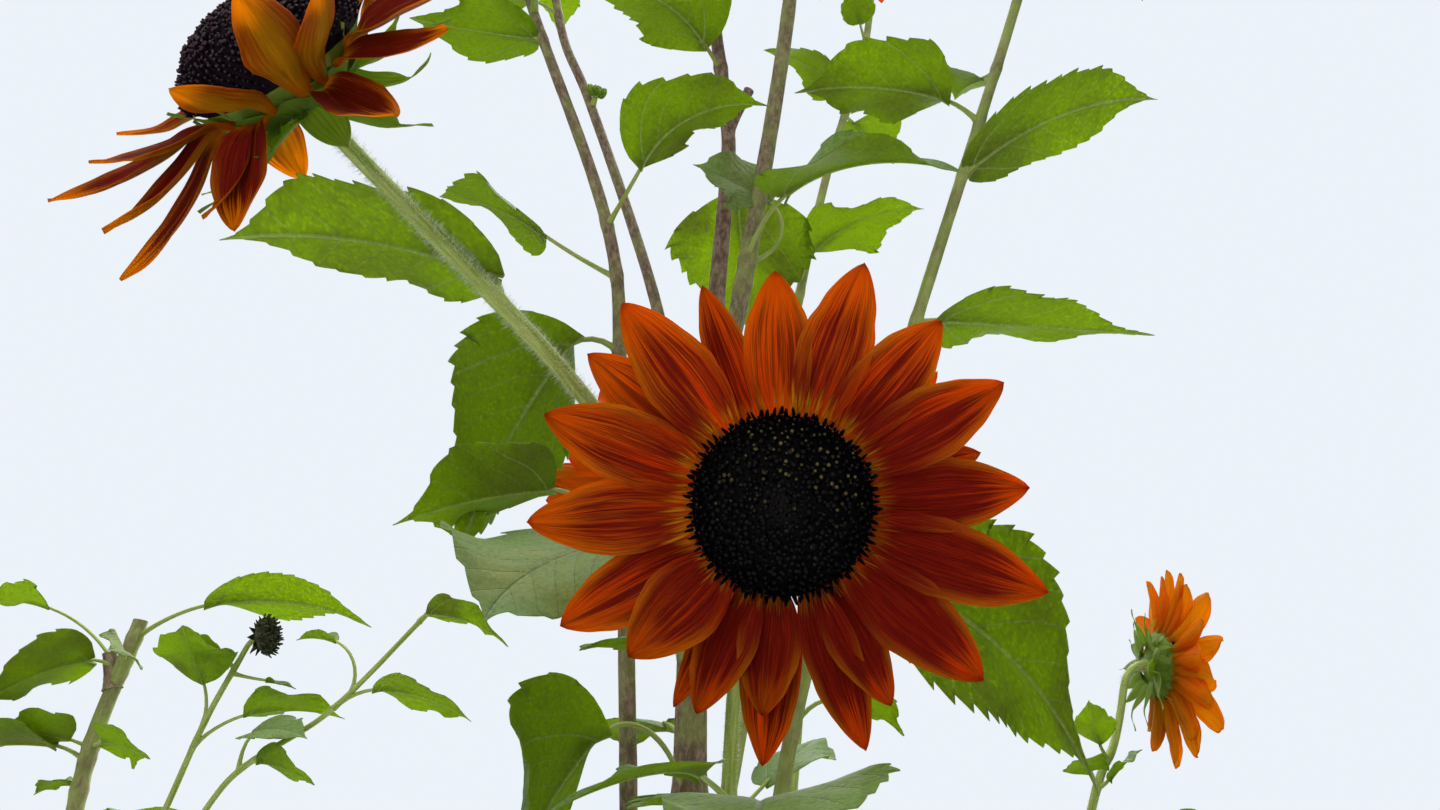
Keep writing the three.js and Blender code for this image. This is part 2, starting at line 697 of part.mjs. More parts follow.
function trunkSolid(grow = 0) {
  const rings = [0, 0.008, 0.018, 0.034, 0.06, 0.12, 0.22, 0.36, 0.53, 0.67, 0.77, 0.84, 0.9, 0.95, 1];
  const round = rings.map((share, i) => {
    const centre = TRUNK.path.at(share);
    const along = i === 0 ? new THREE.Vector3(0, 0, 1) : TRUNK.path.tangent(share);
    const side = new THREE.Vector3(1, 0, 0).addScaledVector(along, -along.x).normalize();
    const other = along.clone().cross(side);
    const radius = trunkRadius(share) + grow;
    return Array.from({ length: TRUNK.sides }, (unused, k) => {
      const angle = (k / TRUNK.sides) * 2 * Math.PI;
      return centre.clone()
        .addScaledVector(side, Math.cos(angle) * radius)
        .addScaledVector(other, Math.sin(angle) * radius);
    });
  });
  return solid(skin(round));
}

function limbRadius(limb) {
  return (share) => mix(limb.radius[0], limb.radius[1], share);
}

// The bare part of a limb, fattened all round by `grow`.
function bareLimb(limb, grow) {
  const rings = Math.max(5, Math.round((limb.enters * limb.path.length) / 55));
  const radiusAt = (share) => limbRadius(limb)(share) + grow;
  return solid(limbSkin(limb.path, 0, limb.enters, radiusAt, 6, rings));
}

// The bare part of a limb, cut clear of whatever it grows from.
function boughSolid(limb, hostGrown) {
  return largestPart(bareLimb(limb, 0).subtract(hostGrown));
}

// A cut can leave a crumb on the far side of the host; only the limb is kept.
function largestPart(manifold) {
  const parts = manifold.decompose();
  return parts.reduce((best, part) => (part.volume() > best.volume() ? part : best));
}

function massStem(limb) {
  const from = limb.enters + CLEAR / limb.path.length;
  const rings = limb.rings ?? Math.max(4, Math.round(((1 - from) * limb.path.length) / 60));
  return solid(limbSkin(limb.path, from, 1, limbRadius(limb), 5, rings));
}

// A cut twig: share of the limb, heading, climb, length, radius.
function stubSolid(path, [share, heading, climb, length, radius]) {
  const root = path.at(share);
  const tip = root.clone().addScaledVector(direction(heading, climb), length);
  const line = new Path([root.toArray(), tip.toArray()], 2);
  return solid(limbSkin(line, 0, 1, () => radius, 5, 2));
}

// A closed bud on a short stalk: share of the limb, heading, climb, stalk length, radius.
function budSolid(path, [share, heading, climb, length, radius]) {
  const tip = path.at(share).addScaledVector(direction(heading, climb), length);
  const ball = new THREE.SphereGeometry(radius, 8, 5);
  ball.scale(1, 1, 0.8);
  ball.translate(tip.x, tip.y, tip.z);
  return stubSolid(path, [share, heading, climb, length, STALK_RADIUS]).add(solid(ball));
}

// The first of the turns tried at which a ruled leaf clears every other piece.
function placedLeaf(path, row, others) {
  for (const turn of TRIES) {
    const leaf = new Leaf(path, [row[0], row[1] + turn, ...row.slice(2)]);
    const grown = leaf.solid(1);
    if (others.every((other) => other.intersect(grown).isEmpty())) {
      return leaf;
    }
  }
  return null;
}

function piece(name, manifold, finish) {
  const [colour, roughness] = FINISHES[finish];
  const material = new THREE.MeshStandardMaterial({ color: colour, roughness, metalness: 0 });
  material.name = finish;
  const mesh = new THREE.Mesh(geometryOf(manifold), material);
  mesh.name = name;
  return mesh;
}

function growPlant() {
  const group = new THREE.Group();
  TRUNK.path = new Path(TRUNK.way);
  Object.values(LIMBS).forEach((limb) => {
    limb.path = new Path(limb.way);
  });

  const solids = new Map();
  const finishes = new Map();
  const keep = (name, manifold, finish) => {
    solids.set(name, manifold);
    finishes.set(name, finish);
  };

  keep("main_stem", trunkSolid(), "wood");
  const trunkGrown = trunkSolid(CLEAR);
  Object.entries(LIMBS).forEach(([name, limb]) => {
    if (limb.enters > 0) {
      const grown = limb.host ? bareLimb(LIMBS[limb.host], CLEAR * 1.5) : trunkGrown;
      keep(`bough_${name}`, boughSolid(limb, grown), "wood");
    }
  });
  Object.entries(BLOOMS).forEach(([name, spec], i) => {
    keep(`bloom_${name}`, bloomSolid(spec, i + 1), "bloom");
  });
  keep("seed_head", seedHeadSolid(SEED_HEAD), "seed");

  Object.entries(LIMBS).forEach(([name, limb]) => {
    const parts = [
      massStem(limb),
      ...(limb.buds ?? []).map((bud) => budSolid(limb.path, bud)),
      ...(limb.stubs ?? []).map((stub) => stubSolid(limb.path, stub)),
    ];
    limb.leaves.forEach((row) => parts.push(new Leaf(limb.path, row).solid()));
    keep(`mass_${name}`, fuse(parts), "leaf");
  });
  TRUNK_LEAVES.forEach((row, i) => {
    const leaf = new Leaf(TRUNK.path, row).solid().subtract(trunkGrown);
    keep(`leaf_upper_${i + 1}`, largestPart(leaf), "leaf");
  });

  const othersOf = (name) => [...solids.keys()].filter((key) => key !== name).map((key) => solids.get(key));
  Object.entries(LIMBS).forEach(([name, limb], i) => {
    if (limb.ruled) {
      const key = `mass_${name}`;
      ruledRows(limb.ruled, i + 1).forEach((row) => {
        const leaf = placedLeaf(limb.path, row, othersOf(key));
        if (leaf) {
          solids.set(key, solids.get(key).add(leaf.solid()));
        }
      });
    }
  });
  ruledRows(TRUNK_RULED, 31).forEach((row, i) => {
    const leaf = placedLeaf(TRUNK.path, row, othersOf("main_stem"));
    if (leaf) {
      keep(`leaf_${i + 1}`, largestPart(leaf.solid().subtract(trunkGrown)), "leaf");
    }
  });

  solids.forEach((manifold, name) => group.add(piece(name, manifold, finishes.get(name))));
  return group;
}

export default growPlant();
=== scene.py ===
"""A rooted, branching sunflower with rust-red blooms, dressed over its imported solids.

Stems, leaves, petals, bracts and florets are surfaces worked out as whole arrays from
named sizes in millimetres, and put into the mesh in metres.
"""

import logging
import math
from dataclasses import dataclass, replace
from enum import Enum
from typing import Callable

import bpy
import numpy as np
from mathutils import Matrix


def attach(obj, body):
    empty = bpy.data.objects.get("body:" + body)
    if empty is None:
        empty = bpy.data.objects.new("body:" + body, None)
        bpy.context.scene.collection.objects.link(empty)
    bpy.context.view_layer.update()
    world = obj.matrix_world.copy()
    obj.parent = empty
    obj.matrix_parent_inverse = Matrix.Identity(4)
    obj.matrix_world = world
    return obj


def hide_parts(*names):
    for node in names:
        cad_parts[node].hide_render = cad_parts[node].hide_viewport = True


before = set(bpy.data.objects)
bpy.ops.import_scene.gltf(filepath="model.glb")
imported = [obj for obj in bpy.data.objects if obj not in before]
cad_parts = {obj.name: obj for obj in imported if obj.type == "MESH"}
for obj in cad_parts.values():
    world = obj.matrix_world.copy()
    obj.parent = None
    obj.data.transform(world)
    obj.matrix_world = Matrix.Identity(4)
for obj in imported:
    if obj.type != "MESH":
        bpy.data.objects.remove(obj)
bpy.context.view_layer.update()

log = logging.getLogger("sunflower")

Array = np.ndarray
Number = float | Array
Colour = tuple[float, float, float]
Triple = tuple[float, float, float]

MM = 0.001
TURN = 2 * math.pi
# Each leaf stands this many degrees round the stem from the one below it.
LEAF_TURN = 137.5
# A ruled leaf is tried at these turns, in order, until its tip meets a corner of its solid.
TRIES = (0, 45, -45, 90, -90, 140)
# How far, in millimetres, a ruled leaf's tip may lie from its solid's own tip.
TIP_MATCH = 2.5
# From each floret of a disc to the next one.
GOLDEN_ANGLE = math.radians(137.50776)
# Half the thickness of each kind of sheet, in millimetres.
LEAF_SHEET = 0.2
PETAL_SHEET = 0.16
SCALE_SHEET = 0.25
# The distance of a bristle's foot corners from its middle.
HAIR_FOOT = 0.07
# What the seeded scatter starts from where a piece has no number of its own.
TRUNK_RULE_SEED = 31
TRUNK_BLADE_SEED = 900
TRUNK_HAIR_SEED = 40
NECK_HAIR_SEED = 50
SEED_HEAD_SEED = 77


class Slot(Enum):
    """The record's material slots."""

    STEM = "stem"
    FOLIAGE = "foliage"
    BLOOM = "bloom"
    SEED = "seed"


# Numbers and directions.


def scatter(seed: Number) -> Number:
    """A fixed scatter in 0..1: the fraction of a large multiple of a sine of the seed."""
    wave = np.sin(seed * 12.9898 + 4.1414) * 43758.5453
    return wave - np.floor(wave)


def mix(start: float, end: float, share: Number) -> Number:
    """The value a share of the way from start to end."""
    return start + (end - start) * share


def unit(vectors: Array) -> Array:
    """The vectors divided by their lengths."""
    return vectors / np.linalg.norm(vectors, axis=-1, keepdims=True)


def direction(heading: Number, climb: Number) -> Array:
    """The unit direction of a heading from +X towards +Y and a climb above level.

    Args:
        heading: degrees round from +X.
        climb: degrees above level.

    Returns:
        cos climb cos heading, cos climb sin heading, sin climb.
    """
    turn, rise = np.radians(heading), np.radians(climb)
    level = np.cos(rise)
    parts = np.broadcast_arrays(level * np.cos(turn), level * np.sin(turn), np.sin(rise))
    return np.stack(parts, axis=-1)


def wobble(places: Array, seed: float) -> Array:
    """A smooth seeded wave: five sines of rising pitch and falling height.

    Args:
        places: where it is wanted.
        seed: sets the pitches and the starts of the sines.

    Returns:
        Their sum, in about -1..1.
    """
    total = np.zeros_like(places, dtype=float)
    for k in range(5):
        pitch = 1 + k + scatter(seed + 7.1 * k)
        total += np.sin(places * pitch + TURN * scatter(seed * 3.3 + k)) / (1 + k)
    return total / 1.6


def angles_round(count: int) -> Array:
    """The angles of so many points spread evenly over one turn."""
    return np.arange(count) / count * TURN


def square_to(ways: Array) -> tuple[Array, Array]:
    """Two unit directions square to each way and to each other.

    Args:
        ways: unit directions, one a row.

    Returns:
        The cross product of each way with +Z, or with +X where it is steep, and the
        cross product of the way with that.
    """
    axis = np.where(np.abs(ways[:, 2:]) < 0.8, [[0.0, 0.0, 1.0]], [[1.0, 0.0, 0.0]])
    side = unit(np.cross(ways, axis))
    return side, np.cross(ways, side)


def read_line(wanted: Number, places: Array, points: Array) -> Array:
    """The points at the wanted places of a line of straight steps."""
    return np.stack([np.interp(wanted, places, points[:, k]) for k in range(3)], axis=-1)


def upright(face: Array) -> Array:
    """The unit direction square to a facing direction that points most nearly up."""
    return unit(np.array([0, 0, 1.0]) - face * face[2])


def arc(start: Array, headings: tuple[float, float], climbs: tuple[float, float],
        length: float, shares: Array) -> Array:
    """Points of an arc whose heading and climb change evenly along it.

    Args:
        start: the first point.
        headings: degrees at both ends.
        climbs: degrees at both ends.
        length: millimetres along the arc.
        shares: the shares of its length at which points are wanted.

    Returns:
        The running sum of short steps, each in its own middle direction, read at shares.
    """
    steps = 96
    middle = (np.arange(steps) + 0.5) / steps
    ways = direction(mix(*headings, middle), mix(*climbs, middle)) * (length / steps)
    points = np.vstack([start, start + np.cumsum(ways, axis=0)])
    return read_line(shares, np.linspace(0, 1, steps + 1), points)


class Path:
    """A smooth path through way points, read by share of its length."""

    def __init__(self, way: tuple[Triple, ...], steps: int = 64) -> None:
        """Lays cubic spans that leave each way point towards the line of its neighbours.

        Args:
            way: the points that the path runs through.
            steps: points on each span.
        """
        held = np.array(way, dtype=float)
        first, last = 2 * held[0] - held[1], 2 * held[-1] - held[-2]
        held = np.vstack([first, held, last])
        t = np.arange(steps) / steps
        weights = 0.5 * np.stack([
            -t + 2 * t**2 - t**3,
            2 - 5 * t**2 + 3 * t**3,
            t + 4 * t**2 - 3 * t**3,
            -t**2 + t**3,
        ], axis=1)
        spans = [weights @ held[i:i + 4] for i in range(len(way) - 1)]
        self.points = np.vstack(spans + [held[-2:-1]])
        gaps = np.linalg.norm(np.diff(self.points, axis=0), axis=1)
        self.reach = np.concatenate([[0], np.cumsum(gaps)])
        self.length = float(self.reach[-1])

    def at(self, share: Number) -> Array:
        """The point or points at a share of the length."""
        return read_line(np.clip(share, 0, 1) * self.length, self.reach, self.points)

    def tangent(self, share: Number) -> Array:
        """The unit direction from 4 mm before a share to 4 mm after it."""
        step = 4 / self.length
        return unit(self.at(np.minimum(share + step, 1)) - self.at(np.maximum(share - step, 0)))

    def frames(self, shares: Array) -> tuple[Array, Array, Array]:
        """Tangents and two directions across them.

        Args:
            shares: where they are wanted.

        Returns:
            Tangent, side and other: side is the axis least in line with the path, made
            square to the tangent, and other is their cross product.
        """
        along = self.tangent(shares)
        axis = np.eye(3)[np.argmin(np.abs(along).max(axis=0))]
        side = unit(axis - along * (along @ axis)[:, None])
        return along, side, np.cross(along, side)


# Meshes.


@dataclass
class Patch:
    """A closed surface with what its finish reads at each point."""

    points: Array
    faces: list[Array]
    uv: Array
    grain: Array
    under: Array
    tint: Array

    @staticmethod
    def joined(patches: list["Patch"]) -> "Patch":
        """All patches as one, with face numbers moved up past the points before them.

        Args:
            patches: what is joined, in order.

        Returns:
            The one patch.
        """
        faces, start = [], 0
        for patch in patches:
            faces += [block + start for block in patch.faces]
            start += len(patch.points)
        columns = {key: np.concatenate([getattr(patch, key) for patch in patches])
                   for key in ("points", "uv", "grain", "under", "tint")}
        return Patch(faces=faces, **columns)


def grid_faces(rows: int, count: int) -> list[Array]:
    """Quads of a tube of rings, with a strip of quads over each end.

    Args:
        rows: how many rings.
        count: points on each ring, an even number.

    Returns:
        Blocks of quads that face outwards.
    """
    row, column = np.meshgrid(np.arange(rows - 1), np.arange(count), indexing="ij")
    after = (column + 1) % count
    walls = np.stack([row * count + column, row * count + after,
                      (row + 1) * count + after, (row + 1) * count + column], axis=-1)
    i = np.arange(count // 2 - 1)
    strip = np.stack([i, i + 1, count - 2 - i, count - 1 - i], axis=-1)
    return [walls.reshape(-1, 4), strip[:, ::-1], strip + (rows - 1) * count]


def tube(path: Path, shares: Array, radius: Array, tint: Number,
         sides: int) -> Patch:
    """A closed round tube along a path.

    Args:
        path: its middle line.
        shares: where its rings stand.
        radius: one value for each ring, or a row of values round each ring.
        tint: how old the stem looks, for all of it or for each ring.
        sides: points round a ring.

    Returns:
        Rings of centre + side cos a radius + other sin a radius.
    """
    angle = angles_round(sides)
    _, side, other = path.frames(shares)
    out = side[:, None] * np.cos(angle)[:, None] + other[:, None] * np.sin(angle)[:, None]
    wide = np.broadcast_to(np.atleast_1d(radius).reshape(len(shares), -1), (len(shares), sides))
    points = path.at(shares)[:, None] + out * wide[..., None]
    run = np.broadcast_to((shares * path.length)[:, None], wide.shape)
    grain = np.stack([np.cos(angle) * wide, np.sin(angle) * wide, run], axis=-1)
    uv = np.stack([np.broadcast_to(angle / TURN, wide.shape), run / 100], axis=-1)
    ages = np.broadcast_to(np.atleast_1d(tint)[:, None], (len(shares), 1))
    return Patch(points.reshape(-1, 3), grid_faces(len(shares), sides), uv.reshape(-1, 2),
                 grain.reshape(-1, 3), np.zeros(wide.size), np.repeat(ages.ravel(), sides))


@dataclass
class BladeLine:
    """The middle line of a leaf, petal or bract, with the directions across it."""

    middle: Array
    sides: Array
    ups: Array

    def strip(self, t: Array, s: Array, x: Array, lift: Array, sheet: float, tint: float,
              forward: Number = 0.0) -> Patch:
        """A thin blade of even thickness, with marks that run across and along it.

        Args:
            t: the places of its columns, from 1 at the +side edge to -1 at the other.
            s: the shares of its rows.
            x: distance across, rows by columns.
            lift: height of the blade's middle sheet over the line.
            sheet: half its thickness.
            tint: one value for the whole blade.
            forward: distance moved along the line.

        Returns:
            The closed blade.
        """
        uv = np.stack(np.broadcast_arrays(0.5 + 0.5 * t, s[:, None]), -1)
        thin = np.full_like(x, sheet)
        return self.blade(x, lift, thin, thin, forward + np.zeros_like(x), uv, tint)

    def scale(self, s: Array, half: Array, fold: float, tint: float) -> Patch:
        """A small pointed blade of five columns, folded along its middle.

        Args:
            s: the shares of its rows.
            half: half its width at each row.
            fold: how steeply its halves rise away from the middle.
            tint: one value for the whole blade.

        Returns:
            The closed blade.
        """
        t = np.linspace(1, -1, 5)
        x = t * half[:, None]
        return self.strip(t, s, x, np.abs(x) * fold, SCALE_SHEET, tint)

    def blade(self, x: Array, lift: Array, top: Array, bottom: Array, forward: Array,
              uv: Array, tint: float) -> Patch:
        """A thin closed blade over the line.

        Args:
            x: distance across, rows by columns, from the +side edge to the other.
            lift: height of the blade's middle sheet over the line.
            top: thickness above the middle sheet.
            bottom: thickness below it.
            forward: distance moved along the line.
            uv: rows by columns of two values for the finish.
            tint: one value for the whole blade.

        Returns:
            Rings that run across the upper face and back across the lower one.
        """
        along = np.cross(self.sides, self.ups)
        base = self.middle[:, None] + self.sides[:, None] * x[..., None]
        base = base + along[:, None] * forward[..., None]
        upper = base + self.ups[:, None] * (lift + top)[..., None]
        lower = base + self.ups[:, None] * (lift - bottom)[..., None]
        ring = np.concatenate([upper, lower[:, ::-1]], axis=1)
        rows, count = ring.shape[:2]
        under = np.zeros((rows, count))
        under[:, count // 2:] = 1
        marks = np.concatenate([uv, uv[:, ::-1]], axis=1)
        return Patch(ring.reshape(-1, 3), grid_faces(rows, count), marks.reshape(-1, 2),
                     ring.reshape(-1, 3), under.ravel(), np.full(rows * count, tint))


def lathe(centre: Array, face: Array, right: Array, profile: Array, sides: int) -> Patch:
    """A closed surface turned round a facing direction.

    Args:
        centre: where the profile's height is nought.
        face: the direction of the axis.
        right: a direction square to it.
        profile: rows of distance from the axis and height along it.
        sides: points round a ring.

    Returns:
        Rings of centre + (right cos a + other sin a) distance + face height.
    """
    angle = angles_round(sides)
    other = np.cross(face, right)
    out = np.cos(angle)[:, None] * right + np.sin(angle)[:, None] * other
    points = centre + out * profile[:, None, :1] + face * profile[:, None, 1:]
    flat = points.reshape(-1, 3)
    uv = np.stack(np.broadcast_arrays(angle / TURN, np.linspace(0, 1, len(profile))[:, None]), -1)
    return Patch(flat, grid_faces(len(profile), sides), uv.reshape(-1, 2), flat,
                 np.zeros(len(flat)), np.zeros(len(flat)))


def bristles(bases: Array, ways: Array, lengths: Array, thick: float) -> Patch:
    """Stiff hairs: a narrow pointed pyramid of four faces on each base.

    Args:
        bases: where the hairs stand.
        ways: their unit directions.
        lengths: how long each is.
        thick: the distance of a hair's foot corners from its middle.

    Returns:
        Three foot corners and a tip for each hair.
    """
    side, other = square_to(ways)
    angle = angles_round(3)
    feet = side[:, None] * np.cos(angle)[:, None] + other[:, None] * np.sin(angle)[:, None]
    feet = bases[:, None] + feet * thick
    tips = bases + ways * lengths[:, None]
    points = np.concatenate([feet, tips[:, None]], axis=1).reshape(-1, 3)
    pattern = np.array([[0, 1, 3], [1, 2, 3], [2, 0, 3], [0, 2, 1]])
    faces = (pattern + 4 * np.arange(len(bases))[:, None, None]).reshape(-1, 3)
    plain = np.zeros(len(points))
    return Patch(points, [faces], np.stack([plain, plain], -1), points, plain, plain)


def hair_coat(path: Path, radius_at: Callable[[Array], Array], count: int, length: float,
              seed: int, start: float = 0.02) -> Patch:
    """Bristles all round a stem, most of them leaning a little towards its tip.

    Args:
        path: the stem's middle line.
        radius_at: its radius at shares of its length.
        count: how many bristles.
        length: their middling length.
        seed: sets where they stand.
        start: the share of the stem from which they stand.

    Returns:
        The bristles.
    """
    draw = np.random.default_rng(seed)
    share, angle = draw.uniform(start, 1, count), draw.uniform(0, TURN, count)
    along, side, other = path.frames(share)
    out = side * np.cos(angle)[:, None] + other * np.sin(angle)[:, None]
    bases = path.at(share) + out * (radius_at(share) * 0.97)[:, None]
    lean = draw.uniform(-0.2, 0.6, count)[:, None]
    ways = unit(out + along * lean + draw.normal(0, 0.2, (count, 3)))
    return bristles(bases, ways, length * draw.uniform(0.4, 1.5, count), HAIR_FOOT)


def make_piece(name: str, patches: list[Patch], finish: bpy.types.Material,
               nodes: list[str], crease: float = 50.0) -> bpy.types.Object:
    """Joins patches into one mesh object that rides on the plant.

    Args:
        name: the piece's name.
        patches: what it is made of, in millimetres.
        finish: its material.
        nodes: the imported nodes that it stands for.
        crease: edges sharper than this many degrees stay sharp.

    Returns:
        The finished object, at the origin.
    """
    whole = Patch.joined(patches)
    counts = np.concatenate([np.full(len(block), block.shape[1]) for block in whole.faces])
    corners = np.concatenate([block.ravel() for block in whole.faces]).astype(np.int32)
    starts = np.concatenate([[0], np.cumsum(counts)[:-1]]).astype(np.int32)
    mesh = bpy.data.meshes.new(name)
    mesh.vertices.add(len(whole.points))
    mesh.vertices.foreach_set("co", (whole.points * MM).astype(np.float32).ravel())
    mesh.loops.add(len(corners))
    mesh.loops.foreach_set("vertex_index", corners)
    mesh.polygons.add(len(counts))
    mesh.polygons.foreach_set("loop_start", starts)
    mesh.update(calc_edges=True)
    layer = mesh.uv_layers.new(name="UVMap")
    layer.data.foreach_set("uv", whole.uv[corners].astype(np.float32).ravel())
    for key in ("under", "tint"):
        values = getattr(whole, key).astype(np.float32)
        mesh.attributes.new(key, "FLOAT", "POINT").data.foreach_set("value", values)
    grain = mesh.attributes.new("grain", "FLOAT_VECTOR", "POINT")
    grain.data.foreach_set("vector", (whole.grain * MM).astype(np.float32).ravel())
    mesh.shade_smooth()
    mesh.set_sharp_from_angle(angle=math.radians(crease))
    mesh.materials.append(finish)
    piece = bpy.data.objects.new(name, mesh)
    bpy.context.scene.collection.objects.link(piece)
    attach(piece, "root")
    if nodes:
        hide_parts(*nodes)
    triangles = int((counts - 2).sum())
    log.info("%s: %d triangles, stands for %d nodes", name, triangles, len(nodes))
    return piece


# Shader values.


class Term:
    """A shader value; arithmetic on it adds the Math nodes that work it out."""

    def __init__(self, board: "Board", socket: bpy.types.NodeSocket) -> None:
        """Keeps the board that the value is on and its socket."""
        self.board = board
        self.socket = socket

    def math(self, operation: str, *values: "Value") -> "Term":
        """The outcome of one Math node on the values."""
        return self.board.node("ShaderNodeMath", {"operation": operation}, dict(enumerate(values)))

    def __add__(self, other: "Value") -> "Term":
        """This value and another."""
        return self.math("ADD", self, other)

    __radd__ = __add__

    def __sub__(self, other: "Value") -> "Term":
        """This value less another."""
        return self.math("SUBTRACT", self, other)

    def __rsub__(self, other: "Value") -> "Term":
        """Another value less this one."""
        return self.math("SUBTRACT", other, self)

    def __mul__(self, other: "Value") -> "Term":
        """This value times another."""
        return self.math("MULTIPLY", self, other)

    __rmul__ = __mul__

    def __truediv__(self, other: "Value") -> "Term":
        """This value over another."""
        return self.math("DIVIDE", self, other)

    def __pow__(self, other: "Value") -> "Term":
        """This value to a power."""
        return self.math("POWER", self, other)

    def __abs__(self) -> "Term":
        """This value without its sign."""
        return self.math("ABSOLUTE", self)

    def larger(self, other: "Value") -> "Term":
        """This value or another, whichever is the larger."""
        return self.math("MAXIMUM", self, other)

    def fraction(self) -> "Term":
        """What is left of this value past its whole number."""
        return self.math("FRACT", self)

    def step(self, start: float, end: float) -> "Term":
        """Nought at start and one at end, with a smooth rise between them."""
        return self.board.node("ShaderNodeMapRange", {"interpolation_type": "SMOOTHSTEP"},
                               {0: self, 1: start, 2: end})


Value = Term | float
Tone = Term | Colour


class Board:
    """The node tree of a material or a world, with one method that places any node."""

    def __init__(self, owner: bpy.types.Material | bpy.types.World) -> None:
        """Starts with an empty tree.

        Args:
            owner: the material or world that the tree belongs to.
        """
        self.owner = owner
        owner.use_nodes = True
        self.tree = owner.node_tree
        self.tree.nodes.clear()

    @classmethod
    def named(cls, name: str) -> "Board":
        """The board of a new material."""
        return cls(bpy.data.materials.new(name))

    def node(self, kind: str, settings: dict[str, object] | None = None,
             inputs: dict[int | str, object] | None = None, output: int | str = 0) -> Term:
        """Places a node.

        Args:
            kind: the node's type.
            settings: its own settings, which are set first.
            inputs: what its sockets take, a value or another node's outcome.
            output: the socket that is wanted of it.

        Returns:
            That socket as a value.
        """
        node = self.tree.nodes.new(kind)
        for key, value in (settings or {}).items():
            setattr(node, key, value)
        for key, value in (inputs or {}).items():
            if isinstance(value, Term):
                self.tree.links.new(value.socket, node.inputs[key])
            elif isinstance(value, tuple) and node.inputs[key].type == "RGBA":
                node.inputs[key].default_value = (*value, 1.0)
            else:
                node.inputs[key].default_value = value
        return Term(self, node.outputs[output]) if len(node.outputs) else Term(self, None)

    def attribute(self, name: str, output: str = "Fac") -> Term:
        """A value stored on the mesh."""
        return self.node("ShaderNodeAttribute", {"attribute_name": name}, output=output)

    def uv(self) -> tuple[Term, Term]:
        """The two values of the piece's own UV map.

        Returns:
            The value across the piece and the value along it.
        """
        place = self.node("ShaderNodeUVMap", {"uv_map": "UVMap"})
        across = self.node("ShaderNodeSeparateXYZ", {}, {0: place})
        return across, Term(self, across.socket.node.outputs[1])

    def coords(self) -> Term:
        """The point on the piece, in metres."""
        return self.node("ShaderNodeTexCoord", {}, output="Object")

    def vector(self, x: Value, y: Value, z: Value) -> Term:
        """Three values as one vector."""
        return self.node("ShaderNodeCombineXYZ", {}, {0: x, 1: y, 2: z})

    def noise(self, place: Term, scale: float, detail: float = 2.0, rough: float = 0.5) -> Term:
        """A cloudy value in about 0..1 at a place."""
        return self.node("ShaderNodeTexNoise", {}, {
            "Vector": place, "Scale": scale, "Detail": detail, "Roughness": rough})

    def speckle(self, place: Term, scale: float) -> Term:
        """The distance to the nearest of scattered points."""
        return self.node("ShaderNodeTexVoronoi", {}, {"Vector": place, "Scale": scale})

    def stretched(self, place: Term, scale: Triple) -> Term:
        """A place with each of its values multiplied."""
        return self.node("ShaderNodeVectorMath", {"operation": "MULTIPLY"}, {0: place, 1: scale})

    def blend(self, share: Value, low: Tone, high: Tone) -> Term:
        """One colour over another by a share."""
        settings = {"data_type": "RGBA", "blend_type": "MIX", "clamp_factor": True}
        return self.node("ShaderNodeMix", settings, {0: share, 6: low, 7: high}, 2)

    def bump(self, height: Term, depth: float) -> Term:
        """A normal that reads height as relief of so many metres."""
        return self.node("ShaderNodeBump", {}, {
            "Height": height, "Distance": depth, "Strength": 1.0})

    def finish(self, base: Tone, rough: Value, normal: Term, specular: float,
               through: Colour | None = None, share: Value = 0.0) -> bpy.types.Material:
        """Ends the tree in a surface, with light let through where a colour for it is given.

        Args:
            base: the surface colour.
            rough: its roughness.
            normal: its relief.
            specular: how strongly it glints.
            through: the colour of the light that passes.
            share: how much passes.

        Returns:
            The material.
        """
        surface = self.node("ShaderNodeBsdfPrincipled", {}, {
            "Base Color": base, "Roughness": rough, "Normal": normal,
            "Specular IOR Level": specular})
        if through:
            glow = self.node("ShaderNodeBsdfTranslucent", {}, {"Color": through})
            surface = self.node("ShaderNodeMixShader", {}, {0: share, 1: surface, 2: glow})
        self.node("ShaderNodeOutputMaterial", {}, {0: surface})
        return self.owner


# Finishes.


@dataclass(frozen=True)
class StemFinish:
    """Bristly green stems that turn mauve-brown and speckled with age."""

    young: Colour = (0.25, 0.34, 0.05)
    pale: Colour = (0.47, 0.55, 0.17)
    old: Colour = (0.125, 0.075, 0.052)
    speck: Colour = (0.32, 0.22, 0.16)
    scar: Colour = (0.075, 0.045, 0.040)
    streak_scale: float = 900.0
    patch_scale: float = 420.0
    speck_scale: float = 700.0
    cloud_scale: float = 60.0
    relief: float = 0.0004

    def make(self) -> bpy.types.Material:
        """Streaks along the stem, specks where it is old, and fine ridges as relief.

        Returns:
            The material.
        """
        board = Board.named("stem_skin")
        grain = board.attribute("grain", "Vector")
        age = board.attribute("tint")
        long_grain = board.stretched(grain, (1.0, 1.0, 0.06))
        streak = board.noise(long_grain, self.streak_scale, 3.0, 0.6)
        cloud = board.noise(grain, self.cloud_scale)
        patch = board.noise(board.stretched(grain, (1.0, 1.0, 0.5)), self.patch_scale, 3.0, 0.6)
        speck = board.speckle(board.stretched(grain, (1.0, 1.0, 0.45)), self.speck_scale)
        green = board.blend(streak.step(0.3, 0.75), self.young, self.pale)
        brown = board.blend(patch.step(0.35, 0.7), self.old, self.speck)
        brown = board.blend(speck.step(0.32, 0.12) * 0.7, brown, self.scar)
        browning = (age + (cloud - 0.5) * 0.7 + (streak - 0.5) * 0.5).step(0.22, 0.85)
        base = board.blend(browning, green, brown)
        relief = board.bump(streak * 0.7 + speck * 0.5, self.relief)
        return board.finish(base, 0.62 + streak * 0.2, relief, 0.3)


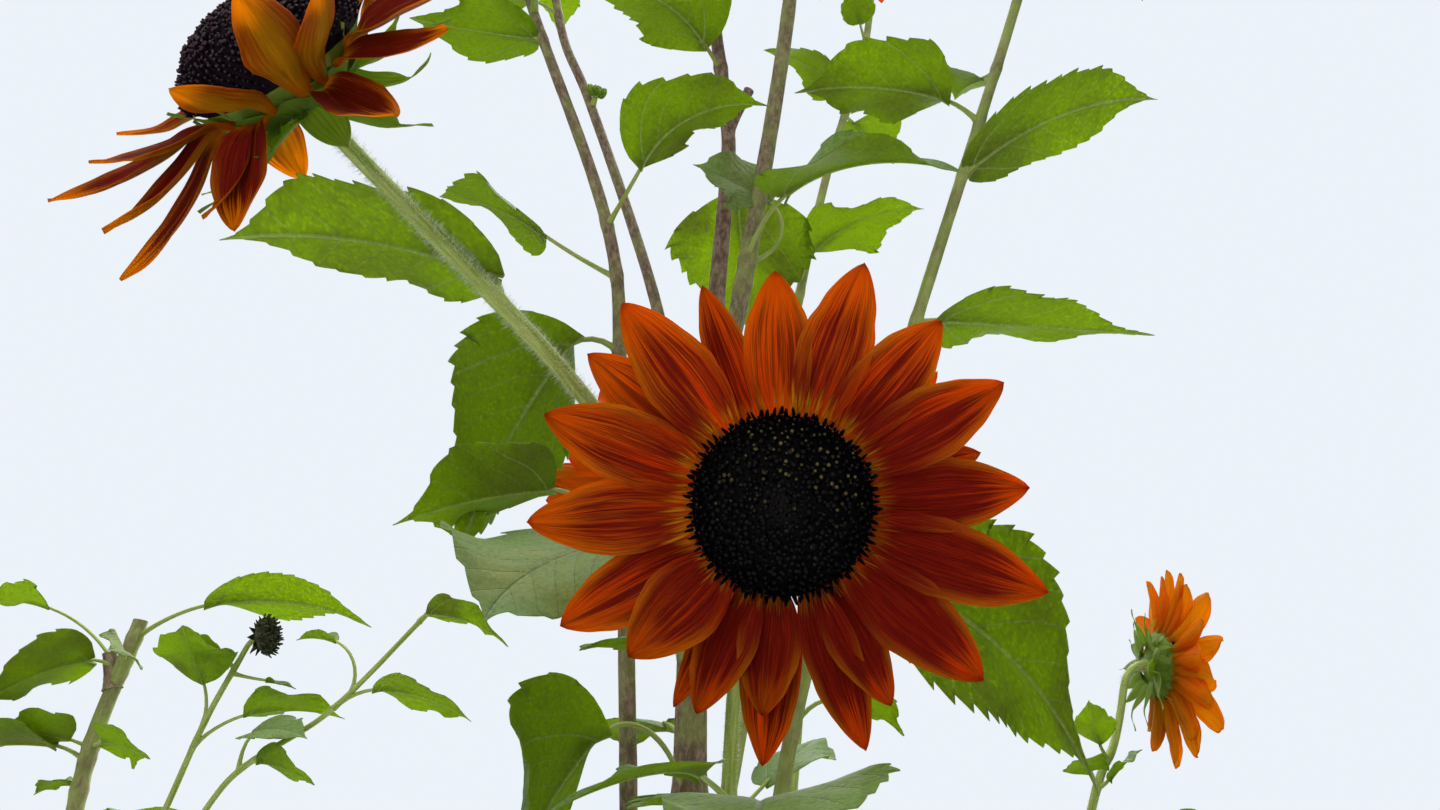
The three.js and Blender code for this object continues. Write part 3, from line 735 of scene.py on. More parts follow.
@dataclass(frozen=True)
class LeafFinish:
    """Leaves sage green above, partly a painted sky reflection, and bright yellow-green below,
    where light comes through.
    """

    # The upper face's sage colours are partly the leaf's own green and partly a painted reflection
    # of the pale sky.
    upper: Colour = (0.17, 0.25, 0.11)
    upper_vein: Colour = (0.26, 0.34, 0.18)
    lower: Colour = (0.125, 0.185, 0.012)
    lower_vein: Colour = (0.50, 0.60, 0.20)
    deep: Colour = (0.030, 0.070, 0.005)
    faded: Colour = (0.27, 0.28, 0.02)
    through: Colour = (0.66, 0.86, 0.010)
    passing: float = 0.76
    vein_gap: float = 0.16
    net_scale: float = 54.0
    cloud_scale: float = 26.0
    mottle_scale: float = 480.0
    relief: float = 0.0004

    def make(self) -> bpy.types.Material:
        """Veins from the leaf's own map: a strong pair low down and paired side veins.

        Side veins stand vein_gap of the leaf's length apart and bend towards the tip. Of
        the light, the share passing comes through below; less does at the veins, through
        the net of small veins and where it is mottled, so that a leaf against the light
        looks alive.

        Returns:
            The material.
        """
        board = Board.named("leaf_skin")
        across, along = board.uv()
        under, tint = board.attribute("under"), board.attribute("tint")
        coords = board.coords()
        cloud = board.noise(coords, self.cloud_scale, 3.0)
        mottle = board.noise(coords, self.mottle_scale, 3.0, 0.65)
        cells = board.speckle(board.vector(across, along, tint * 9.0), self.net_scale)
        net = cells.step(0.05, 0.55)
        out = abs(across - 0.5)
        bent = along - out * (0.95 + tint * 0.3) - out * out * 1.2 + (cloud - 0.5) * 0.07
        side_vein = abs((bent / (self.vein_gap + tint * 0.03) - 0.35).fraction() - 0.5)
        first = abs(bent + 0.03).step(0.014, 0.002)
        fine = side_vein.step(0.045, 0.006) * along.step(0.02, 0.12) * 0.6
        rib = out.step(0.013, 0.004)
        vein = (first * 0.8).larger(fine).larger(rib)
        lower = board.blend(vein * 0.85, self.lower, self.lower_vein)
        # The upper face takes the sage colours, with their painted sky reflection.
        upper = board.blend(vein * 0.6, self.upper, self.upper_vein)
        base = board.blend(under, upper, lower)
        base = board.blend(mottle.step(0.40, 0.72) * 0.4, base, self.deep)
        base = board.blend(net * 0.25, base, self.deep)
        base = board.blend(tint * cloud.step(0.4, 0.7) * 0.5, base, self.faded)
        pillow = (side_vein * 2.0) ** 0.6
        height = pillow * 0.5 + mottle * 0.3 + vein * (under * 1.2 - 0.6)
        relief = board.bump(height, self.relief)
        shadow = along.step(0.5, 0.0) * out.step(0.12, 0.0) * 0.12
        share = self.passing - (1.0 - under) * 0.34 - vein * 0.14 - net * 0.14 - shadow
        share = share - mottle.step(0.4, 0.75) * 0.10 - cloud.step(0.35, 0.75) * tint * 0.32
        return board.finish(base, 0.55 + mottle * 0.15, relief, 0.22, self.through, share)


@dataclass(frozen=True)
class PetalFinish:
    """Petals golden at the root, maroon in the middle and burnt orange out to the tip."""

    name: str
    through: Colour
    back: Colour
    share: float
    gold: Colour = (0.92, 0.36, 0.005)
    orange: Colour = (0.92, 0.250, 0.001)
    rust: Colour = (0.50, 0.026, 0.0005)
    maroon: Colour = (0.125, 0.0012, 0.0006)
    back_red: Colour = (0.56, 0.060, 0.002)
    streaks: float = 24.0
    broad_streaks: float = 4.0
    hairlines: float = 80.0
    relief: float = 0.0005

    def make(self) -> bpy.types.Material:
        """Colours run out along the petal in streaks that follow its lengthwise veins.

        A dark band lies over the inner two thirds, weaker on warm petals; golden streaks
        run out from the root, and the very tip is dark. Light comes through most where
        the petal is least dark.

        Returns:
            The material.
        """
        board = Board.named(self.name)
        across, along = board.uv()
        under, tint = board.attribute("under"), board.attribute("tint")
        lines = board.vector(across * self.streaks, along * 1.1, tint * 40.0)
        streak = board.noise(lines, 1.0, 3.0, 0.6)
        lines = board.vector(across * self.broad_streaks, along * 1.4, tint * 31.0)
        broad = board.noise(lines, 1.0, 1.0)
        lines = board.vector(across * self.hairlines, along * 3.0, tint * 17.0)
        hair = board.noise(lines, 1.0, 2.0, 0.6)
        line = streak.step(0.34, 0.66)
        thread = hair.step(0.36, 0.64)
        warm = tint.step(0.62, 0.95)
        band = along.step(0.0, 0.2) * along.step(1.05, 0.55)
        shade = (band * (1.35 - tint * 1.1) + (line - 0.5) * 0.6 + (broad - 0.5) * 1.2
                 + (thread - 0.5) * 0.3).step(0.0, 1.0)
        body = board.blend((along * 0.55 + tint * 0.6 + line * 0.4 - 0.35).step(0.0, 0.9),
                           self.rust, self.orange)
        body = board.blend(warm * 0.85, body, self.gold)
        face = board.blend(shade * (1.0 - warm * 0.8), body, self.maroon)
        # The paler orange over the outer half of the edges is partly the petal's own margin and
        # partly painted light, shining through where the petal is thin.
        edge = abs(across - 0.5).step(0.30, 0.50) * along.step(0.25, 0.80) * (0.45 + tint * 0.6)
        face = board.blend(edge, face, self.orange)
        root = (along - (line - 0.5) * 0.14 - (thread - 0.5) * 0.06 - tint * 0.10).step(0.14, 0.0)
        face = board.blend(root * (0.45 + tint * 0.5), face, self.gold)
        lane = abs((across * 5.0 + (broad - 0.5) * 1.2).fraction() - 0.5)
        rib = lane.step(0.04, 0.0) * along.step(0.75, 0.10) * line.step(0.9, 0.3)
        face = board.blend(rib * (0.2 + tint * 0.5), face, self.orange)
        reverse = board.blend((line * 0.45 + broad * 0.8 + abs(across - 0.5)).step(0.65, 1.2) * 0.9,
                              self.back, self.back_red)
        base = board.blend(under, face, reverse)
        base = board.blend(thread * (0.28 - warm * 0.12), base, self.rust)
        base = board.blend(hair.step(0.60, 0.74) * (0.45 - warm * 0.33), base, self.maroon)
        base = board.blend(along.step(0.95, 1.0) * 0.7 * (1.0 - warm), base, self.maroon)
        height = thread * 0.3 + line * 0.7 + broad * 0.9 - rib * 0.6
        relief = board.bump(height, self.relief)
        dark = shade * (1.0 - under * 0.75) * (1.0 - warm)
        share = (self.share - dark * self.share * 0.97) * (1.0 - thread * 0.18 - line * 0.16)
        return board.finish(base, 0.55 + thread * 0.15, relief, 0.07, self.through, share)


@dataclass(frozen=True)
class DiscFinish:
    """Packed florets, near black, painted darker at their feet, some with painted olive-gold glints
    on their tips.
    """

    name: str
    deep: Colour
    body: Colour
    # Painted glints: the olive-gold of a lit floret tip, and the share of florets that carry one.
    tip_glint: Colour
    glint_share: float = 0.40
    grit_scale: float = 1400.0
    relief: float = 0.0002

    def make(self) -> bpy.types.Material:
        """Each floret is painted darkest at its foot, as shade in the gaps, and lighter at its top;
        the tips of some carry a painted glint.

        Returns:
            The material.
        """
        board = Board.named(self.name)
        _, height = board.uv()
        tint = board.attribute("tint")
        grit = board.noise(board.coords(), self.grit_scale)
        # Painted shade and highlight: near black at each floret's foot, in the gaps between
        # florets, lighter towards its top.
        base = board.blend(height.step(0.7, 1.0) * (0.3 + grit), self.deep, self.body)
        # Painted glints: a lighter olive-gold tip on some florets, where the light catches them.
        tip_glint = (tint + (grit - 0.5) * 0.5).step(1 - self.glint_share, 1.0) * height.step(0.8, 1.0)
        base = board.blend(tip_glint, base, self.tip_glint)
        return board.finish(base, 0.55 + grit * 0.2, board.bump(grit, self.relief), 0.07)


@dataclass(frozen=True)
class BractFinish:
    """Green bracts and cups, paler along their veins and towards their tips."""

    body: Colour = (0.19, 0.29, 0.035)
    pale: Colour = (0.38, 0.48, 0.14)
    through: Colour = (0.62, 0.84, 0.05)
    passing: float = 0.42
    veins: float = 7.0
    cloud_scale: float = 120.0
    relief: float = 0.0004

    def make(self) -> bpy.types.Material:
        """Lengthwise veins, pale towards the thread-like tip.

        Returns:
            The material.
        """
        board = Board.named("bract_skin")
        across, along = board.uv()
        cloud = board.noise(board.coords(), self.cloud_scale)
        vein = abs((across * self.veins).fraction() - 0.5).step(0.18, 0.0)
        base = board.blend(vein * 0.35 + along.step(0.5, 1.0) * 0.5, self.body, self.pale)
        base = board.blend(cloud.step(0.45, 0.75) * 0.4, base, self.pale)
        relief = board.bump(vein + cloud * 0.5, self.relief)
        return board.finish(base, 0.6, relief, 0.2, self.through, self.passing - vein * 0.12)


@dataclass(frozen=True)
class PlainFinish:
    """A fine mottled finish, for bristles, dry seed points and the floor."""

    name: str
    body: Colour
    mottle: Colour
    scale: float
    depth: float
    rough: float

    def make(self) -> bpy.types.Material:
        """A cloudy blend of two close colours with slight relief.

        Returns:
            The material.
        """
        board = Board.named(self.name)
        cloud = board.noise(board.coords(), self.scale, 3.0)
        base = board.blend(cloud.step(0.35, 0.65), self.body, self.mottle)
        return board.finish(base, self.rough, board.bump(cloud, self.depth), 0.2)


STEM_SKIN = StemFinish()
LEAF_SKIN = LeafFinish()
BRACT_SKIN = BractFinish()
RED_PETALS = PetalFinish("petal_red", through=(1.0, 0.21, 0.002), back=(0.80, 0.26, 0.003),
                         share=0.58)
# The golden copy's back is as bright as a colour goes: partly the golden reverse of these petals,
# partly painted light making up for the shade the upper-left and lower-right blooms lie in.
GOLDEN_PETALS = PetalFinish("petal_gold", through=(1.0, 0.50, 0.008), back=(1.0, 0.48, 0.006),
                            share=0.84)
# Per disc: deep is painted shade at the floret feet, body their lighter tops, and the last colour
# the painted glint on some tips.
BLACK_DISC = DiscFinish("disc_black", deep=(0.0005, 0.0003, 0.0010), body=(0.011, 0.009, 0.010),
                        tip_glint=(0.15, 0.115, 0.035))
MAUVE_DISC = DiscFinish("disc_mauve", deep=(0.008, 0.004, 0.008), body=(0.085, 0.050, 0.060),
                        tip_glint=(0.20, 0.14, 0.10))
HUSK = PlainFinish("seed_husk", (0.022, 0.024, 0.012), (0.075, 0.080, 0.035), scale=300.0,
                   depth=0.0006, rough=0.75)
BRISTLE = PlainFinish("bristle", (0.62, 0.66, 0.50), (0.75, 0.77, 0.66), scale=200.0,
                      depth=0.0001, rough=0.5)
PALE_FLOOR = PlainFinish("floor_pale", (0.72, 0.72, 0.70), (0.76, 0.76, 0.74), scale=3.0,
                         depth=0.0005, rough=0.8)


# Leaves.


# Where a blade's points stand from its rib to its edge, close together at both.
BLADE_COLUMNS = np.array([0.0, 0.025, 0.06, 0.16, 0.32, 0.5, 0.68, 0.84, 0.93, 0.975, 1.0])


@dataclass(frozen=True)
class BladeShape:
    """What all leaf blades share: millimetres, or parts of a blade's length or width."""

    spread: float = 0.59
    tooth_gap: float = 7.5
    rows_to_tooth: int = 5
    tooth: float = 0.052
    lobe: float = 0.085
    ruffle: float = 0.055
    quilt: float = 0.006
    quilt_gap: float = 0.16
    rib_groove: float = 0.5
    least: float = 0.06
    small: float = 45.0


BLADE = BladeShape()


@dataclass(frozen=True)
class Leaf:
    """A heart-shaped, toothed leaf on its stalk."""

    share: float
    turn: float
    rise: float
    stalk: float
    pitch: float
    length: float
    droop: float
    swing: float
    width: float
    roll: float

    def neck(self, path: Path) -> Array:
        """Where the stalk ends and the blade starts."""
        return self.stalk_points(path, np.array([1.0]))[0]

    def stalk_points(self, path: Path, shares: Array) -> Array:
        """Points along the stalk, which climbs less and less from the stem."""
        climbs = (self.rise, self.pitch)
        return arc(path.at(self.share), (self.turn, self.turn), climbs, self.stalk, shares)

    def blade_points(self, path: Path, shares: Array) -> Array:
        """Points along the blade, which droops and swings evenly from its root.

        Args:
            path: the stem that it grows on.
            shares: the shares of its length at which they are wanted.

        Returns:
            One point for each share.
        """
        headings = (self.turn, self.turn + self.swing)
        climbs = (self.pitch, self.pitch - self.droop)
        return arc(self.neck(path), headings, climbs, self.length, shares)

    def thick(self) -> float:
        """The stalk's radius at its root."""
        return 0.85 * (1.1 + self.length / 150)

    def stalk_patch(self, path: Path, age: float) -> Patch:
        """The stalk: a round tube that thins outwards, swollen where it clasps the stem.

        Args:
            path: the stem that it grows on.
            age: how old it looks, from nought to one.

        Returns:
            The closed stalk.
        """
        ring_gap = 4
        places = np.linspace(0, 1, max(6, int(self.stalk / ring_gap)))
        knots = self.stalk_points(path, np.linspace(0, 1, 7))
        line = Path(tuple(map(tuple, knots)), 8)
        away = places * self.stalk
        radius = self.thick() * (1 - 0.3 * places) * (1 + 0.7 * np.exp(-away / 4))
        return tube(line, places, radius, age, 8)

    def blade_patch(self, path: Path, seed: float) -> Patch:
        """The blade: broadest a third of the way out, with saw teeth that point forwards.

        Its base is drawn back into two lobes by the square of the place across, and a rib
        that thins out towards the tip stands under the middle.

        Args:
            path: the stem that it grows on.
            seed: sets its ruffles and its tint.

        Returns:
            The closed blade.
        """
        chance = [float(scatter(seed * 1.3 + k * 2.7)) for k in range(6)]
        teeth = int(np.clip(self.length / BLADE.tooth_gap, 6, 20))
        s = np.linspace(0, 1, BLADE.rows_to_tooth * teeth + 1)
        out = BLADE_COLUMNS if self.length > BLADE.small else BLADE_COLUMNS[::2]
        t = np.concatenate([out[::-1], -out[1:]])
        rise, half = s[:, None], self.half_width(s)
        saw = np.abs(t) ** 7 * self.saw(s, t, seed)
        uneven = 1 + 0.07 * wobble(rise * 6 + np.sign(t), seed)
        x = t * half * uneven + np.sign(t) * saw
        forward = saw * 1.1 - BLADE.lobe * self.length * (1 - rise) ** 4 * t**2
        lift = self.relief(rise, t, x, half, chance, seed)
        rib = self.thick() * 0.7 * (1 - rise) ** 0.8
        bottom = LEAF_SHEET + rib * np.exp(-(x / (0.7 * self.thick())) ** 2)
        top = np.full_like(x, LEAF_SHEET)
        uv = np.stack([0.5 + x / self.length, rise + forward / self.length], axis=-1)
        return self.blade_line(path, s).blade(x, lift, top, bottom, forward, uv, chance[5])

    def blade_line(self, path: Path, s: Array) -> BladeLine:
        """The blade's middle line, with the directions across it rolled by roll.

        Args:
            path: the stem that it grows on.
            s: the shares of the blade's length at which rows are wanted.

        Returns:
            The line and the directions across it.
        """
        lean = math.radians(self.roll)
        headings = mix(self.turn, self.turn + self.swing, s)
        level = direction(headings + 90, 0)
        along = direction(headings, mix(self.pitch, self.pitch - self.droop, s))
        up = np.cross(along, level)
        return BladeLine(self.blade_points(path, s),
                         level * math.cos(lean) + up * math.sin(lean),
                         up * math.cos(lean) - level * math.sin(lean))

    def half_width(self, s: Array) -> Array:
        """Half the width times the sine of pi times share^spread, to 1 + share^3 / 2."""
        half = np.sin(math.pi * s**BLADE.spread) ** (1 + 0.5 * s**3)
        return np.maximum(0.5 * self.width * half, BLADE.least)[:, None]

    def saw(self, s: Array, t: Array, seed: float) -> Array:
        """How far the teeth stand out, with a scatter of their sizes.

        Over the rows of a tooth it grows evenly from nought, and at the next tooth it
        falls back. Teeth fade towards both ends of the blade.

        Args:
            s: the shares of the rows.
            t: the places of the columns.
            seed: sets the sizes of the teeth on each side.

        Returns:
            Millimetres, rows by columns.
        """
        rise = s[:, None]
        tooth, step = np.divmod(np.arange(len(s)), BLADE.rows_to_tooth)
        size = np.where(t > 0, *[0.5 + 0.9 * scatter(tooth * 1.7 + seed + side)[:, None]
                                 for side in (0.0, 40.0)])
        plain = step / (BLADE.rows_to_tooth - 1) * BLADE.tooth * self.width
        return size * plain[:, None] * np.clip(rise / 0.1, 0, 1) * (1 - rise) ** 0.7

    def relief(self, rise: Array, t: Array, x: Array, half: Array, chance: list[float],
               seed: float) -> Array:
        """How high the blade's sheet stands over its middle line.

        Each half folds up evenly and curls by the square of its place, the edge ruffles
        as a sine of the share, the blade twists about its rib, the rib lies in a groove,
        and the flesh swells between the side veins. All but the last two calm down over
        the last third, towards the tip.

        Args:
            rise: the shares of the rows, as a column.
            t: the places of the columns.
            x: distance across, rows by columns.
            half: half the blade's width, as a column.
            chance: the leaf's own scatter.
            seed: sets how the curl changes along it.

        Returns:
            Millimetres, rows by columns.
        """
        calm = np.clip((1 - rise) / 0.3, 0, 1)
        fold = mix(0.05, 0.36, chance[2])
        curl = mix(-0.12, 0.22, chance[3]) + 0.16 * wobble(rise * 3, seed + 5)
        wave = np.sin(rise * (8 + 6 * chance[0]) + TURN * chance[1] + 1.6 * np.sign(t))
        twist = math.radians(60) * (chance[4] - 0.5) * rise * calm
        quilt = np.cos((rise - np.abs(x) / self.length * 0.9) * TURN / BLADE.quilt_gap)
        quilt = quilt * np.sin(math.pi * np.abs(t)) * np.sin(math.pi * rise)
        return (half * (np.abs(t) * fold - t**2 * curl) * calm
                + np.abs(t) ** 2.5 * wave * self.width * BLADE.ruffle * calm
                + x * np.sin(twist)
                - BLADE.rib_groove * np.exp(-(x / 1.2) ** 2)
                + BLADE.quilt * self.width * quilt)


@dataclass(frozen=True)
class Rule:
    """Leaves set along a stem, each turned on from the last and smaller than it."""

    start: float
    end: float
    count: int
    turn: float
    stalk: float
    blade: tuple[float, float]

    def leaves(self, seed: int) -> list[Leaf]:
        """The leaves before any is turned to where its solid stands.

        Args:
            seed: sets the scatter of their turns, sizes and slopes.

        Returns:
            One leaf for each of count places.
        """
        found = []
        for i in range(self.count):
            part = i / (self.count - 1)
            chance = [float(scatter(seed * 97 + i * 7 + k)) for k in range(10)]
            blade = mix(*self.blade, part) * (0.88 + 0.24 * chance[1])
            found.append(Leaf(
                mix(self.start, self.end, part),
                self.turn + LEAF_TURN * i + 24 * (chance[2] - 0.5),
                34 + 26 * chance[3],
                self.stalk * (0.8 + 0.4 * chance[4]) * mix(1, 0.7, part),
                14 - 22 * chance[5],
                blade,
                22 + 22 * chance[6],
                30 * (chance[7] - 0.5),
                blade * (0.66 + 0.12 * chance[8]),
                20 * (chance[9] - 0.5)))
        return found


def as_placed(leaf: Leaf, path: Path, node: str) -> Leaf | None:
    """The leaf at the turn at which its solid stands, or nothing where it has none.

    Args:
        leaf: as the rule gives it.
        path: the stem that it grows on.
        node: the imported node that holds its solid.

    Returns:
        The first tried turn whose tip meets a corner of that node.
    """
    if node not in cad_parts:
        return None
    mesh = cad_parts[node].data
    corners = np.zeros(len(mesh.vertices) * 3, np.float32)
    mesh.vertices.foreach_get("co", corners)
    corners = corners.reshape(-1, 3) / MM
    for turn in TRIES:
        tried = replace(leaf, turn=leaf.turn + turn)
        tip = tried.blade_points(path, np.array([1.0]))[0]
        if np.linalg.norm(corners - tip, axis=1).min() < TIP_MATCH:
            return tried
    return None


# Stem and limbs.


@dataclass(frozen=True)
class Trunk:
    """The main stem: tapering, flared where it meets the ground."""

    way: tuple[Triple, ...] = ((0, 0, 0), (-6, 5, 400), (-5, 5, 850), (-3, 1, 1231),
                               (-2, 0, 1330), (3, -1, 1427), (7, -3, 1470))
    root_radius: float = 14.0
    tip_radius: float = 4.6
    taper_power: float = 2.2
    flare: float = 10.0
    flare_height: float = 34.0
    sides: int = 28
    rings: int = 470
    hairs: int = 1800
    hair_length: float = 0.9
    hairs_from: float = 0.5

    def path(self) -> Path:
        """Its middle line."""
        return Path(self.way)

    def radius(self, share: Array, length: float) -> Array:
        """A taper by share to a power, and a flare that dies away up from the ground."""
        taper = mix(self.root_radius, self.tip_radius, share**self.taper_power)
        return taper + self.flare * np.exp(-share * length / self.flare_height)

    def patch(self, knots: list[float]) -> Patch:
        """The stem with ridges, furrows near the ground and a swelling at each knot.

        Args:
            knots: the shares at which stalks and limbs leave it.

        Returns:
            The closed stem, cut flat at ground level.
        """
        path = self.path()
        share = np.linspace(0, 1, self.rings)[:, None]
        angle = angles_round(self.sides)
        height = share * path.length
        plain = self.radius(share, path.length)
        twist = angle + 0.25 * wobble(height / 70, 4.0)
        ridge = 0.022 * np.sin(5 * twist) + 0.016 * np.sin(9 * twist + 0.4 * np.sin(height / 60))
        furrow = 0.05 * wobble(9 * twist + 0.6 * np.sin(height / 23), 8.0) * np.exp(-height / 160)
        swell = sum(0.10 * np.exp(-(((share - knot) * path.length - 2) / 5) ** 2) for knot in knots)
        grit = 0.008 * np.sin(height * 1.9 + 3 * np.sin(4 * angle))
        radius = plain * (1 + ridge + furrow + swell + grit)
        age = np.clip(mix(1.05, 0.62, share[:, 0]), 0, 1)
        whole = tube(path, share[:, 0], radius, age, self.sides)
        whole.points[:, 2] = np.maximum(whole.points[:, 2], 0)
        whole.points[:self.sides, 2] = 0
        return whole


@dataclass(frozen=True)
class Limb:
    """A limb: bare wood up to where it enters its leaves, then their stem."""

    way: tuple[Triple, ...]
    radius: tuple[float, float]
    leaves: tuple[tuple[float, ...], ...] = ()
    ruled: Rule | None = None
    buds: tuple[tuple[float, ...], ...] = ()
    stubs: tuple[tuple[float, ...], ...] = ()
    age: float = 0.3
    hairs: float = 1.2
    hair_length: float = 0.7
    sides: int = 12
    ring_gap: float = 3.5

    def radius_at(self, share: Number) -> Number:
        """An even taper from root to tip."""
        return mix(*self.radius, share)

    def patch(self, path: Path, knots: list[float], seed: float) -> Patch:
        """The limb with slight ridges and a swelling at each knot.

        Args:
            path: its middle line.
            knots: the shares at which stalks leave it.
            seed: sets its ridges.

        Returns:
            The closed limb, thicker where it leaves the stem.
        """
        share = np.linspace(0, 1, int(path.length / self.ring_gap))[:, None]
        angle = angles_round(self.sides)
        run = share * path.length
        ridge = 0.03 * np.sin(5 * angle + wobble(run / 50, seed)) + 0.02 * wobble(run / 9, seed + 3)
        away = [((share - knot) * path.length - 1.5) / 3.5 for knot in knots]
        swell = 0.15 * np.exp(-np.min(np.square([*away, 9 + 0 * share]), axis=0))
        radius = self.radius_at(share) * (1 + ridge + swell + 0.3 * np.exp(-run / 14))
        return tube(path, share[:, 0], radius, self.age, self.sides)

    def hair_patch(self, path: Path, seed: int) -> Patch:
        """The limb's bristles."""
        count = int(path.length * self.hairs)
        return hair_coat(path, self.radius_at, count, self.hair_length, seed)


